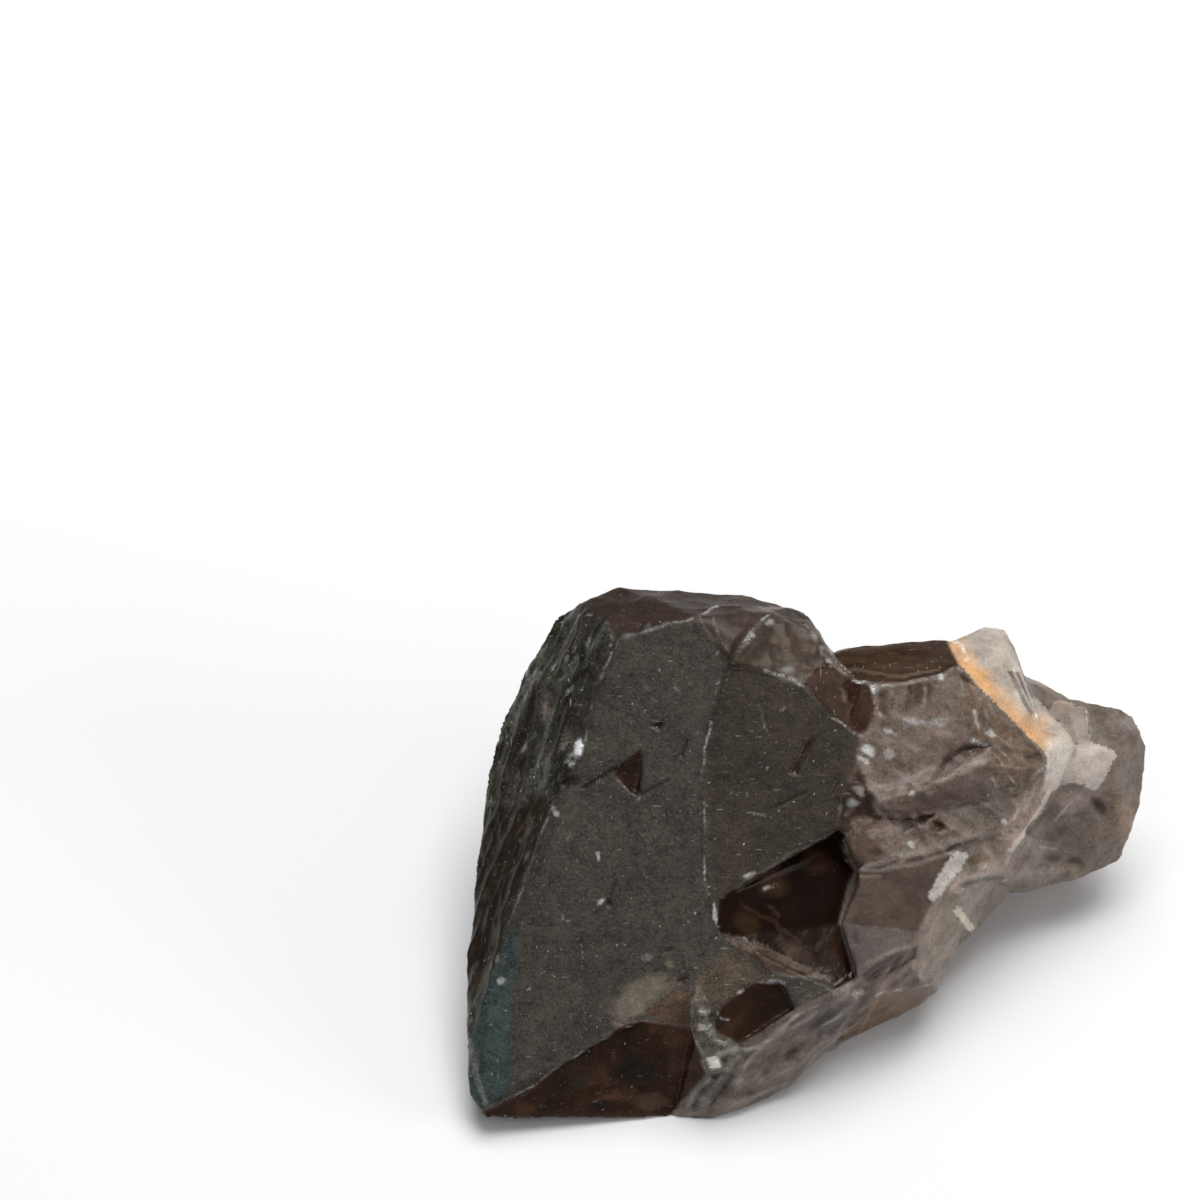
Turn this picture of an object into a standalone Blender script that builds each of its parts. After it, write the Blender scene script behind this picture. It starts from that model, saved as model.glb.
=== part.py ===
"""Rough chevron amethyst: a smoky quartz point, broken off at its banded root.

Metres, +Z up, resting on the ground. Corners are given as a viewer in front of the stone sees them, in
millimetres: across to the right, down the picture, and near, which is towards the viewer. The picture is
120 mm wide and high.
"""

from math import cos, radians, sin

import bmesh
import bpy
from mathutils import Matrix, Vector

MM = 0.001

LOOK_DOWN = radians(55.0)
VIEWER_DISTANCE = 1200.0
PICTURE_MIDDLE = 60.0

STONE_MIDDLE = 80.87
LOWEST_OUTLINE = 111.8
TIP_LIFT = 3.0
DEPTH_MIDDLE = 24.69
BITE_SWEEP = 12.0

KNOB_MIDDLE = (87.4, 84.4, 0.1)
KNOB_RADII = (3.1, 2.6, 2.6)
KNOB_TURN = radians(50.0)

GROUND_CUT_WIDTH = 0.2
GROUND_CUT_DEPTH = 0.05

QUARTZ_COLOUR = (0.06, 0.045, 0.035, 1.0)
QUARTZ_ROUGHNESS = 0.35


def seen(across, down, near):
    """The place in the stone's own frame of a point that the viewer sees at across, down."""
    shrink = 1.0 - near / VIEWER_DISTANCE
    right = PICTURE_MIDDLE + (across - PICTURE_MIDDLE) * shrink - STONE_MIDDLE
    up = LOWEST_OUTLINE - PICTURE_MIDDLE - (down - PICTURE_MIDDLE) * shrink
    back = up * sin(LOOK_DOWN) - near * cos(LOOK_DOWN) - DEPTH_MIDDLE
    height = up * cos(LOOK_DOWN) + near * sin(LOOK_DOWN) + TIP_LIFT
    return Vector((right, back, height)) * MM


def ground(right, back, height=-0.5):
    """A point by its place on the ground, a little below it: the ground cut takes that off."""
    return Vector((right, back - DEPTH_MIDDLE, height)) * MM


def main_face(across, down):
    """How near the big front face is: it leans a little to the left and up."""
    return 0.16 * (across - 48.0) + 0.10 * (down - 110.8)


def centre_face(across, down):
    """The front face right of the low ridge, turned a few degrees further round."""
    return 0.06 * across + 0.0914 * down - 10.84


def foot_face(across, down):
    """The foot of the centre face, a hair's breadth lower."""
    return centre_face(across, down) - 0.25


def on(face, *places):
    """Corners that lie on a face, from their places in the picture."""
    return [seen(across, down, face(across, down)) for across, down in places]


def corners(*places):
    return [seen(*place) for place in places]


def clear_scene():
    for obj in list(bpy.data.objects):
        bpy.data.objects.remove(obj)


def collection(name):
    found = bpy.data.collections.new(name)
    bpy.context.scene.collection.children.link(found)
    return found


def lump(name, places, group):
    """A piece with flat faces: the convex hull of its corners."""
    mesh = bpy.data.meshes.new(name)
    bm = bmesh.new()
    for place in places:
        bm.verts.new(place)
    made = bmesh.ops.convex_hull(bm, input=bm.verts)
    inside = [v for v in made["geom_interior"] if isinstance(v, bmesh.types.BMVert)]
    bmesh.ops.delete(bm, geom=inside, context="VERTS")
    bmesh.ops.recalc_face_normals(bm, faces=bm.faces)
    bm.to_mesh(mesh)
    bm.free()
    obj = bpy.data.objects.new(name, mesh)
    group.objects.link(obj)
    return obj


def bite(name, floor, group):
    """A cutter: the floor of a hollow, given by its corners, swept towards the viewer."""
    sweep = seen(PICTURE_MIDDLE, PICTURE_MIDDLE, BITE_SWEEP) - seen(PICTURE_MIDDLE, PICTURE_MIDDLE, 0.0)
    return lump(name, floor + [place + sweep for place in floor], group)


def combine(stone, other, operation):
    other.hide_render = True
    other.display_type = "WIRE"
    modifier = stone.modifiers.new(other.name, "BOOLEAN")
    modifier.operation = operation
    modifier.object = other
    modifier.solver = "EXACT"


def crystal_point(group):
    """The point itself, with the big front face, the striated left flank and the dark lower face."""
    front = on(
        main_face, (48.0, 110.8), (48.8, 102.0), (62.0, 63.8), (66.0, 62.7), (69.8, 61.7), (73.1, 66.2),
    )
    front += on(main_face, (69.6, 99.2))
    front += on(centre_face, (80.4, 68.3), (83.0, 71.5), (85.7, 73.4), (85.6, 83.0), (78.0, 88.0))
    lower_edge = corners((48.5, 111.8, -0.7), (66.8, 111.7, -3.7), (70.5, 111.2, -4.3), (75.0, 104.0, -1.2))
    left_outline = corners(
        (46.9, 109.5, -1.5), (46.7, 98.0, -4.5), (48.2, 88.0, -7.0), (48.4, 81.0, -9.0),
        (49.6, 75.0, -9.5), (52.3, 68.0, -10.0), (55.8, 61.8, -10.0), (58.5, 60.0, -9.0),
    )
    chip = corners((77.0, 61.2, -4.0), (80.6, 62.2, -5.0), (82.6, 65.6, -3.0), (85.2, 68.1, -1.0))
    top_outline = corners((61.8, 58.8, -9.0), (69.5, 59.2, -9.0), (77.5, 60.4, -8.5), (80.7, 61.7, -8.0))
    underside = [
        ground(-27.0, 8.0), ground(-14.0, 2.2), ground(2.0, 12.0), ground(6.0, 42.0),
        ground(-12.0, 47.0), ground(-24.0, 42.0), ground(-30.0, 25.0),
    ]
    return lump("point", front + lower_edge + left_outline + chip + top_outline + underside, group)


def root_block(group):
    """The broken block at the root, which ends in the chevron's corner."""
    left = corners((80.0, 70.5, -0.8), (80.0, 80.0, -0.6), (82.0, 84.0, 0.0))
    front = corners(
        (85.6, 68.2, -0.1), (90.0, 68.4, 0.2), (93.0, 67.9, -0.1), (96.1, 66.6, -0.8), (104.7, 75.8, -2.4),
        (104.4, 77.8, -2.8), (101.2, 82.2, -2.4), (93.0, 85.0, -0.8), (87.0, 86.4, 0.2),
    )
    top = corners((83.6, 65.2, -4.0), (86.0, 64.7, -5.0), (94.8, 64.0, -5.5))
    lower = corners((102.6, 81.0, -4.0), (99.8, 85.0, -5.5), (95.5, 88.7, -6.0))
    behind = corners((104.0, 74.0, -10.0), (95.0, 66.0, -14.0))
    behind += [ground(0.0, 44.0, 12.0), ground(14.0, 44.0, 6.0)]
    underside = [ground(-5.0, 20.0), ground(14.0, 24.0), ground(16.0, 36.0), ground(0.0, 44.0)]
    return lump("root_block", left + front + top + lower + behind + underside, group)


def brow(group):
    """The upper front of the block, which ends in an arched lip."""
    top_edge = corners(
        (85.9, 68.9, 0.5), (90.0, 68.6, 0.9), (95.0, 67.5, 0.2), (98.6, 69.6, -0.8), (103.9, 75.3, -1.9),
    )
    lip = corners(
        (101.0, 74.8, -0.9), (99.0, 74.2, -0.1), (96.6, 74.2, 0.6), (94.4, 75.6, 1.1), (92.6, 78.2, 1.4),
        (88.6, 80.4, 1.7), (85.4, 80.6, 1.6), (84.2, 75.0, 0.9),
    )
    behind = corners((88.0, 70.0, -4.0), (99.0, 73.0, -5.0), (88.0, 79.0, -3.0), (96.0, 73.6, -4.0))
    return lump("brow", top_edge + lip + behind, group)


def ridge(group):
    """The rounded ridge across the block, under the arched lip."""
    crest = corners(
        (87.6, 81.0, 1.7), (91.6, 79.9, 1.7), (95.6, 77.9, 1.1), (99.4, 76.4, 0.2), (104.0, 76.6, -1.9),
    )
    upper_side = corners((93.2, 78.2, 0.2), (96.6, 76.0, -0.4), (99.4, 75.2, -0.8))
    lower_side = corners((88.4, 82.4, 0.9), (95.9, 80.4, 0.0), (98.2, 79.4, -0.4), (103.4, 78.8, -2.2))
    behind = corners((90.0, 80.6, -3.0), (100.0, 77.6, -4.0))
    return lump("ridge", crest + upper_side + lower_side + behind, group)


def shelf(group):
    """The flat facet under the ridge, with the rounded ledge below it."""
    facet = corners(
        (96.4, 80.2, -0.9), (102.8, 79.4, -2.3), (101.6, 82.2, -2.0), (97.0, 83.4, -0.7),
        (90.8, 84.2, 0.2),
    )
    ledge = corners((88.0, 86.3, 1.6), (91.6, 85.5, 0.9), (96.0, 84.4, -0.2), (89.0, 84.0, 1.4))
    behind = corners((90.0, 84.0, -3.0), (100.0, 81.6, -5.0))
    return lump("shelf", facet + ledge + behind, group)


def waist(group):
    """The narrow facets between the shoulder and the lower arm of the band."""
    front = corners(
        (93.6, 85.3, 0.0), (92.8, 92.4, 0.2), (96.2, 88.2, -3.2), (100.0, 85.2, -4.6), (102.4, 82.6, -4.2),
    )
    outline = corners((95.4, 94.2, -6.6), (97.4, 92.6, -8.0))
    behind = corners((90.0, 88.0, -6.0), (98.0, 82.0, -8.0))
    return lump("waist", front + outline + behind + [ground(6.0, 20.0), ground(10.0, 21.0)], group)


def lower_shoulder(group):
    """Two smooth facets at the lower right, above a short flank that runs down to the ground."""
    upper_facet = corners(
        (85.8, 87.1, 2.8), (88.6, 84.8, 1.6), (84.0, 92.3, 3.4), (92.6, 93.0, 0.6), (95.2, 85.2, -0.2),
    )
    lower_facet = corners((85.6, 97.6, 2.2), (91.6, 94.9, 0.2))
    flank = corners(
        (87.9, 99.4, -0.8), (93.1, 98.1, -3.6), (92.1, 100.5, -6.0), (88.9, 102.0, -6.0),
        (84.5, 104.0, -5.5), (93.6, 99.1, -6.0), (94.4, 97.5, -6.0), (95.6, 94.5, -6.5),
        (97.6, 89.0, -5.0),
    )
    inner = corners((79.0, 97.0, -2.0), (79.0, 102.0, -3.0))
    underside = [
        ground(-2.0, 8.0), ground(4.0, 12.0), ground(11.0, 16.5), ground(4.0, 30.0), ground(-8.0, 20.0),
    ]
    return lump("lower_shoulder", upper_facet + lower_facet + flank + inner + underside, group)


def grey_flank(group):
    """The foot of the front face, which stands a step above the dark face, and the flank below it."""
    foot = on(
        foot_face, (69.7, 98.8), (69.8, 103.6), (72.0, 104.5), (79.5, 101.0), (83.6, 98.8), (85.4, 83.6),
    )
    middle = corners((73.6, 108.0, -0.6), (83.8, 103.0, -1.4), (86.0, 99.8, 0.2))
    outline = corners(
        (67.5, 111.8, -3.7), (70.2, 107.0, -1.2), (71.0, 112.0, -3.5), (74.1, 110.9, -3.9),
        (77.0, 109.8, -4.0), (78.6, 108.8, -4.2), (83.2, 104.6, -5.0),
    )
    underside = [ground(-13.0, 2.2), ground(-6.0, 4.2), ground(3.0, 12.0), ground(-10.0, 22.0)]
    return lump("grey_flank", foot + middle + outline + underside, group)


def chevron_band(group):
    """The pale band, which stands proud as a rounded rim round the block's pointed end."""
    inner_edge = corners((95.4, 65.6, -2.4), (95.7, 66.8, -0.3), (99.0, 69.7, -0.6), (104.5, 75.6, -1.8))
    outer_edge = corners((101.0, 66.6, -4.6), (103.9, 71.6, -4.4))
    outline = corners(
        (94.9, 64.2, -5.2), (98.5, 62.6, -6.5), (100.3, 63.0, -7.0), (101.4, 64.6, -7.4),
        (101.9, 66.4, -8.0),
    )
    behind = corners((96.0, 66.0, -14.0), (103.0, 72.0, -14.0), (97.0, 80.0, -8.0))
    return lump("chevron_band", inner_edge + outer_edge + outline + behind, group)


def band_corner(group):
    """The rounded corner of the band, and its lower arm."""
    rim = corners(
        (103.5, 71.8, -5.5), (106.0, 72.3, -5.5), (107.3, 73.8, -5.5), (107.5, 75.0, -5.8),
        (106.6, 77.0, -5.4), (105.9, 78.8, -5.6), (104.6, 75.4, -2.0), (105.6, 74.6, -2.8),
        (104.6, 78.0, -2.6), (103.0, 81.6, -4.2), (100.9, 85.0, -6.0), (96.6, 88.6, -6.4),
    )
    behind = corners((103.0, 72.0, -14.0), (96.0, 86.0, -12.0), (99.0, 76.0, -8.0))
    return lump("band_corner", rim + behind, group)


def root_tail(group):
    """The paler quartz beyond the band, which tapers off to the right."""
    outline = corners(
        (103.0, 70.0, -9.0), (107.2, 69.8, -9.5), (109.4, 70.6, -9.5), (112.1, 70.8, -9.5),
        (113.2, 71.8, -10.0), (114.6, 74.8, -11.0), (114.4, 78.0, -12.0), (113.9, 80.9, -12.5),
        (112.7, 84.0, -13.0), (112.0, 86.1, -13.5), (110.0, 86.9, -13.5), (107.0, 87.5, -13.0),
        (105.4, 88.4, -12.0), (102.6, 89.1, -11.0),
    )
    front = corners(
        (107.0, 76.2, -5.8), (111.3, 74.9, -6.6), (111.5, 76.4, -6.8), (110.4, 78.0, -7.2),
        (103.0, 83.0, -6.6), (108.5, 72.0, -7.4),
    )
    underside = [
        ground(14.0, 28.0), ground(20.0, 31.0), ground(24.0, 38.0), ground(14.0, 42.0), ground(0.0, 30.0),
    ]
    return lump("root_tail", outline + front + underside, group)


def tail_shoulder(group):
    """The brown slope behind the band, from its upper end down to the tail."""
    outline = corners((101.8, 67.2, -8.6), (103.3, 68.3, -9.0), (104.9, 69.1, -9.2), (106.8, 69.6, -9.4))
    front = corners((101.6, 67.6, -6.4), (103.9, 71.8, -5.4), (107.4, 74.0, -6.2))
    behind = corners((96.0, 68.0, -14.0), (108.0, 74.0, -13.0))
    behind += [ground(14.0, 42.0, 6.0), ground(20.0, 38.0, 6.0)]
    return lump("tail_shoulder", outline + front + behind, group)


def tail_foot(group):
    """The low wedge that joins the tail to the shoulder."""
    outline = corners((101.0, 89.4, -10.5), (99.4, 91.1, -9.6), (97.6, 92.8, -8.8), (95.6, 94.5, -7.6))
    front = corners((101.0, 85.6, -7.4), (96.2, 88.9, -6.2), (93.0, 92.0, -4.0))
    underside = [ground(8.0, 22.0), ground(14.0, 25.0), ground(11.0, 19.0), ground(0.0, 30.0)]
    return lump("tail_foot", outline + front + underside, group)


def flank_ribs(group):
    """Two ribs on the striated left flank, along the edge of the front face."""
    upper_edge = corners((62.0, 66.0, -2.9), (58.5, 76.0, -2.5), (57.5, 79.0, -2.6))
    upper_crest = corners((57.6, 67.0, -4.0), (55.2, 76.4, -3.3), (54.4, 79.2, -3.6))
    upper_foot = corners((55.2, 68.6, -7.2), (52.8, 76.0, -6.4), (60.0, 66.0, -9.0), (56.0, 78.0, -8.0))
    lower_edge = corners((56.0, 82.0, -2.1), (54.0, 88.0, -1.9), (50.6, 98.5, -1.2))
    lower_crest = corners((53.2, 83.0, -3.1), (51.0, 90.0, -2.6), (48.9, 98.0, -2.0))
    lower_foot = corners((51.0, 83.4, -6.0), (49.4, 90.0, -5.4), (54.0, 86.0, -7.0), (51.0, 96.0, -5.0))
    upper = upper_edge + upper_crest + upper_foot
    lower = lower_edge + lower_crest + lower_foot
    return [lump("upper_rib", upper, group), lump("lower_rib", lower, group)]


def rear_step(group):
    """A parallel growth step on the back of the point."""
    lower = [ground(-17.0, 44.6, 4.0), ground(-3.0, 44.6, 3.0)]
    upper = [
        ground(-1.0, 47.6, 9.0), ground(-3.5, 48.6, 17.0), ground(-12.0, 49.0, 20.0),
        ground(-20.0, 45.4, 12.0),
    ]
    inner = [ground(-16.0, 36.0, 8.0), ground(-4.0, 36.0, 8.0)]
    return lump("rear_step", lower + upper + inner, group)


def knob(group):
    """The rounded end of the block, which hangs over the notch."""
    mesh = bpy.data.meshes.new("knob")
    bm = bmesh.new()
    bmesh.ops.create_icosphere(bm, subdivisions=3, radius=MM)
    facing_viewer = Matrix.Rotation(radians(90.0) - LOOK_DOWN, 4, "X")
    turned = facing_viewer @ Matrix.Rotation(KNOB_TURN, 4, "Z")
    placed = Matrix.Translation(seen(*KNOB_MIDDLE)) @ turned @ Matrix.Diagonal((*KNOB_RADII, 1.0))
    bmesh.ops.transform(bm, matrix=placed, verts=bm.verts)
    bm.to_mesh(mesh)
    bm.free()
    obj = bpy.data.objects.new("knob", mesh)
    group.objects.link(obj)
    return obj


def notch(group):
    """The dark window: a piece that broke out of the lower right of the front face."""
    floor = on(centre_face, (83.8, 82.9), (71.8, 90.1), (71.8, 93.5))
    floor += corners(
        (74.6, 94.1, 2.0), (77.1, 94.9, 1.5), (82.6, 97.6, 1.0), (83.5, 98.9, 1.2), (85.5, 97.8, 0.2),
        (84.0, 92.3, -1.0), (85.8, 87.1, -1.6), (84.8, 85.5, -1.2), (84.6, 83.7, -0.2),
    )
    return bite("notch", floor, group)


def small_window(group):
    """A second, shallow break below the notch."""
    floor = corners(
        (72.3, 100.5, 2.6), (75.7, 98.1, 2.3), (78.2, 98.3, 1.6), (79.4, 100.9, 1.2), (76.0, 103.1, 1.4),
        (73.6, 104.6, 1.6), (70.9, 104.0, 2.2),
    )
    return bite("small_window", floor, group)


def pit(group):
    """A three-cornered growth pit in the front face."""
    floor = on(main_face, (64.3, 74.8), (61.2, 77.2)) + corners((63.8, 79.7, -1.6), (64.2, 77.0, -1.8))
    return bite("pit", floor, group)


def ground_cut(group):
    """Takes everything below the ground off, which leaves the flat face that the stone rests on."""
    mesh = bpy.data.meshes.new("ground_cut")
    bm = bmesh.new()
    bmesh.ops.create_cube(bm, size=1.0)
    size = Matrix.Diagonal((GROUND_CUT_WIDTH, GROUND_CUT_WIDTH, GROUND_CUT_DEPTH, 1.0))
    placed = Matrix.Translation((0.0, 0.0, -0.5 * GROUND_CUT_DEPTH)) @ size
    bmesh.ops.transform(bm, matrix=placed, verts=bm.verts)
    bm.to_mesh(mesh)
    bm.free()
    obj = bpy.data.objects.new("ground_cut", mesh)
    group.objects.link(obj)
    return obj


def smoky_quartz():
    material = bpy.data.materials.new("smoky_quartz")
    material.use_nodes = True
    surface = material.node_tree.nodes["Principled BSDF"]
    surface.inputs["Base Color"].default_value = QUARTZ_COLOUR
    surface.inputs["Roughness"].default_value = QUARTZ_ROUGHNESS
    surface.inputs["Metallic"].default_value = 0.0
    return material


def main():
    clear_scene()
    stone_group = collection("rough_chevron_amethyst")
    helpers = collection("helpers")
    stone = crystal_point(stone_group)
    stone.name = "amethyst_point"
    stone.data.materials.append(smoky_quartz())
    block = (root_block, brow, ridge, shelf, knob)
    band = (chevron_band, band_corner)
    tail = (root_tail, tail_shoulder, tail_foot, waist)
    foot = (grey_flank, lower_shoulder, rear_step)
    for make in block + band + tail + foot:
        combine(stone, make(helpers), "UNION")
    for rib in flank_ribs(helpers):
        combine(stone, rib, "UNION")
    for make in (notch, small_window, pit, ground_cut):
        combine(stone, make(helpers), "DIFFERENCE")


main()
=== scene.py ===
"""The looks of a rough chevron amethyst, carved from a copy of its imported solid.

The scene is in metres; names that end in _MM are in millimetres. A place in the picture is given as across to
the right and down, in millimetres of a picture that is 120 mm wide and high, as the viewer sees it.
"""

from math import cos, radians, sin

import bpy
import numpy as np
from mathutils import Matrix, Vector


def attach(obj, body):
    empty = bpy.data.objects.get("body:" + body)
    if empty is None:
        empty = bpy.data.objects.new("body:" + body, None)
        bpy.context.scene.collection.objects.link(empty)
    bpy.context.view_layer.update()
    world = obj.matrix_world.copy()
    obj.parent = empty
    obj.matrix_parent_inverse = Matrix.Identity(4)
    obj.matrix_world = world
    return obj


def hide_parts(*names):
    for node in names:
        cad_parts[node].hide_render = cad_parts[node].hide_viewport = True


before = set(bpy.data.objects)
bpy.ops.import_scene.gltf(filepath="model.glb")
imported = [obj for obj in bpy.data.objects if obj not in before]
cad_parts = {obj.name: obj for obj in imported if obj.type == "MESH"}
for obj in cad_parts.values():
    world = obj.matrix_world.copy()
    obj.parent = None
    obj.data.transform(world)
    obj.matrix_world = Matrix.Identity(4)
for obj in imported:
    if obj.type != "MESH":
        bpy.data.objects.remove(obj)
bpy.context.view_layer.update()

MM = 0.001

# The viewer, as in the solid's own source.
LOOK_DOWN = radians(55.0)
VIEWER_DISTANCE = 1200.0
PICTURE_MIDDLE = 60.0
STONE_MIDDLE = 80.87
LOWEST_OUTLINE = 111.8
TIP_LIFT = 3.0
DEPTH_MIDDLE = 24.69

RIGHT = np.array((1.0, 0.0, 0.0))
UP = np.array((0.0, sin(LOOK_DOWN), cos(LOOK_DOWN)))
NEAR = np.array((0.0, -cos(LOOK_DOWN), sin(LOOK_DOWN)))
CORNER = np.array((-STONE_MIDDLE, -DEPTH_MIDDLE, TIP_LIFT))
MIDDLE = CORNER + PICTURE_MIDDLE * RIGHT + (LOWEST_OUTLINE - PICTURE_MIDDLE) * UP

VOXEL_MM = 0.24
TRIANGLES_KEPT = 190000


def seen(across, down, near):
    """The place in millimetres of a point that the viewer sees at across, down, near."""
    shrink = 1.0 - near / VIEWER_DISTANCE
    off_right = (across - PICTURE_MIDDLE) * shrink
    off_up = (PICTURE_MIDDLE - down) * shrink
    return MIDDLE + off_right * RIGHT + off_up * UP + near * NEAR


def picture_place(points):
    """Where the viewer sees each point: across and down."""
    off = points - MIDDLE
    shrink = 1.0 - off @ NEAR / VIEWER_DISTANCE
    return PICTURE_MIDDLE + off @ RIGHT / shrink, PICTURE_MIDDLE - off @ UP / shrink


def smooth_step(low, high, value):
    t = np.clip((value - low) / (high - low), 0.0, 1.0)
    return t * t * (3.0 - 2.0 * t)


def hashed(cells, seed):
    """A steady whole number below 2 to the 31st for each whole-number cell."""
    key = cells[:, 0] * 73856093 ^ cells[:, 1] * 19349663 ^ cells[:, 2] * 83492791 ^ seed * 2654435
    key = (key ^ (key >> 13)) * 1274126177 & 0x7FFFFFFF
    return (key ^ (key >> 16)) * 668265263 & 0x7FFFFFFF


def noise(points, seed):
    """Smooth noise from -1 to 1, one cell to the unit."""
    cell = np.floor(points).astype(np.int64)
    part = points - cell
    ease = part * part * (3.0 - 2.0 * part)
    total = np.zeros(len(points))
    for corner in np.ndindex(2, 2, 2):
        weight = np.prod(np.where(np.array(corner) == 1, ease, 1.0 - ease), axis=1)
        total += weight * hashed(cell + np.array(corner), seed)
    return total / 2 ** 30 - 1.0


def fractal(points, size, octaves, seed):
    """Noise at several scales, the largest of the given size in millimetres."""
    total = np.zeros(len(points))
    share = 1.0
    for octave in range(octaves):
        total += share * noise(points / size, seed + octave)
        size *= 0.5
        share *= 0.5
    return total


def scooped(points, size, seed):
    """Shallow tilted scoops of about the given size that meet at sharp ridges, as quartz breaks: -0.2 to 0.2."""
    places = points / size
    cell = np.floor(places).astype(np.int64)
    lowest = np.full(len(points), 9.0)
    for step in np.ndindex(3, 3, 3):
        other = cell + np.array(step) - 1
        key = hashed(other, seed)
        middle = np.stack([key >> shift & 1023 for shift in (0, 10, 20)], axis=1) / 1023.0
        key = hashed(other, seed + 1)
        tilt = np.stack([key >> shift & 1023 for shift in (0, 10, 20)], axis=1) / 1023.0 - 0.5
        off = places - other - middle
        lowest = np.minimum(lowest, np.einsum("ij,ij->i", off, 0.5 * off + 0.6 * tilt))
    return lowest - 0.05


def stretched(points, direction, factor):
    """Points squeezed along a direction, so that noise on them runs in streaks that way."""
    direction = direction / np.linalg.norm(direction)
    along = points @ direction
    return points - np.outer(along * (1.0 - 1.0 / factor), direction)


def distance_to(across, down, places):
    """Distance in the picture to a broken line."""
    best = np.full(len(across), 1e9)
    for (x0, y0), (x1, y1) in zip(places, places[1:]):
        dx, dy = x1 - x0, y1 - y0
        t = np.clip(((across - x0) * dx + (down - y0) * dy) / (dx * dx + dy * dy), 0.0, 1.0)
        best = np.minimum(best, np.hypot(across - x0 - t * dx, down - y0 - t * dy))
    return best


class Surface:
    """The stone's points in millimetres, their normals, and brushes that work as the viewer sees them."""

    def __init__(self, stone):
        mesh = stone.data
        count = len(mesh.vertices)
        self.points = np.zeros(count * 3)
        self.normals = np.zeros(count * 3)
        mesh.vertices.foreach_get("co", self.points)
        mesh.vertex_normals.foreach_get("vector", self.normals)
        self.points = self.points.reshape(-1, 3) / MM
        self.normals = self.normals.reshape(-1, 3)
        self.across, self.down = picture_place(self.points)
        self.towards = smooth_step(0.0, 0.15, self.normals @ NEAR)
        self.wander = (fractal(self.points, 1.6, 3, 301), fractal(self.points, 1.6, 3, 311))

    def place(self, wander):
        return self.across + wander * self.wander[0], self.down + wander * self.wander[1]

    def region(self, outline, soft=0.15, wander=0.0):
        """1 inside an outline and 0 outside it, on what faces the viewer."""
        across, down = self.place(wander)
        inside = np.zeros(len(across), bool)
        for (x0, y0), (x1, y1) in zip(outline, outline[1:] + outline[:1]):
            if y0 != y1:
                crosses = (down < y0) != (down < y1)
                inside ^= crosses & (across < x0 + (down - y0) * (x1 - x0) / (y1 - y0))
        distance = distance_to(across, down, outline + outline[:1])
        return smooth_step(-soft, soft, np.where(inside, distance, -distance)) * self.towards

    def spot(self, centre, radii, turn=0.0, wander=0.0):
        """1 at the middle of an ellipse, falling to 0 at its rim."""
        across, down = self.place(wander)
        x, y = across - centre[0], down - centre[1]
        c, s = cos(radians(turn)), sin(radians(turn))
        reach = np.hypot((x * c - y * s) / radii[0], (x * s + y * c) / radii[1])
        return smooth_step(1.0, 0.35, reach) * self.towards

    def stroke(self, places, width, wander=0.0):
        """1 on a line, falling evenly to 0 at its width."""
        across, down = self.place(wander)
        return np.clip(1.0 - distance_to(across, down, places) / width, 0.0, 1.0) * self.towards


# Parts of the stone, as outlines in the picture.
FRONT_FACE = [
    (46.9, 111.4), (46.9, 107.0), (47.3, 103.5), (48.2, 100.0), (49.8, 96.0), (52.3, 88.0), (55.4, 80.0), (57.2, 76.8), (58.7, 74.5), (59.4, 70.0),
    (61.7, 63.9), (66.0, 62.6), (69.8, 61.8), (71.5, 64.4), (73.2, 66.4), (76.2, 67.2), (80.3, 68.5),
    (83.0, 71.6), (85.8, 73.5), (85.6, 77.0), (84.0, 80.5), (83.8, 82.9), (77.0, 86.5), (71.9, 89.8),
    (71.7, 93.2), (74.6, 94.1), (77.1, 97.2), (79.2, 97.7), (82.6, 97.8), (83.6, 98.9), (79.4, 100.9),
    (75.0, 103.6), (70.4, 104.8), (69.6, 102.0), (64.0, 101.8), (61.8, 102.6), (58.6, 104.9), (52.7, 109.0),
]
DARK_FACE = [
    (48.0, 111.6), (52.7, 109.0), (56.0, 106.6), (58.6, 104.9), (60.7, 103.8), (61.8, 102.6), (64.0, 102.1),
    (67.3, 102.5), (69.2, 102.7), (69.9, 105.0), (70.6, 107.4), (68.0, 110.4), (67.4, 112.4), (48.0, 112.4),
]
FRONT_RIGHT = [
    (72.9, 66.4), (71.2, 71.5), (70.3, 75.5), (70.2, 80.0), (70.6, 86.0), (71.6, 90.5), (78.0, 86.4), (83.8, 83.0),
    (85.6, 77.0), (85.8, 73.5), (80.3, 68.5),
]
TEAL_STRIP = [
    (51.4, 92.5), (51.9, 95.0), (51.1, 100.0), (51.0, 104.0), (51.0, 109.0), (48.6, 110.8), (46.9, 110.0), (46.9, 106.0),
    (47.8, 101.4), (49.6, 96.4),
]
LEFT_FLANK = [
    (46.7, 111.4), (46.7, 107.0), (47.1, 103.5), (48.0, 100.0), (49.6, 96.0), (52.1, 88.0), (55.2, 80.0), (57.4, 77.0),
    (58.3, 74.5), (59.1, 70.0), (61.5, 63.9),
    (60.8, 62.2), (57.0, 59.5), (44.0, 62.0), (44.0, 112.0),
]
FLANK_LOW = [(51.0, 80.0), (55.2, 79.4), (52.1, 88.0), (49.6, 96.0), (47.0, 103.0), (46.6, 112.0), (44.0, 112.0), (44.0, 84.0)]
BROW = [
    (57.0, 59.5), (60.8, 62.2), (61.7, 63.9), (66.0, 62.6), (69.8, 61.8), (74.0, 60.9), (78.0, 60.8), (78.0, 57.0),
    (57.0, 57.0),
]
PINK_FACET = [(69.9, 61.6), (72.0, 60.7), (77.2, 61.0), (75.6, 62.8), (74.6, 64.2), (73.2, 66.4), (71.5, 64.4)]
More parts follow.
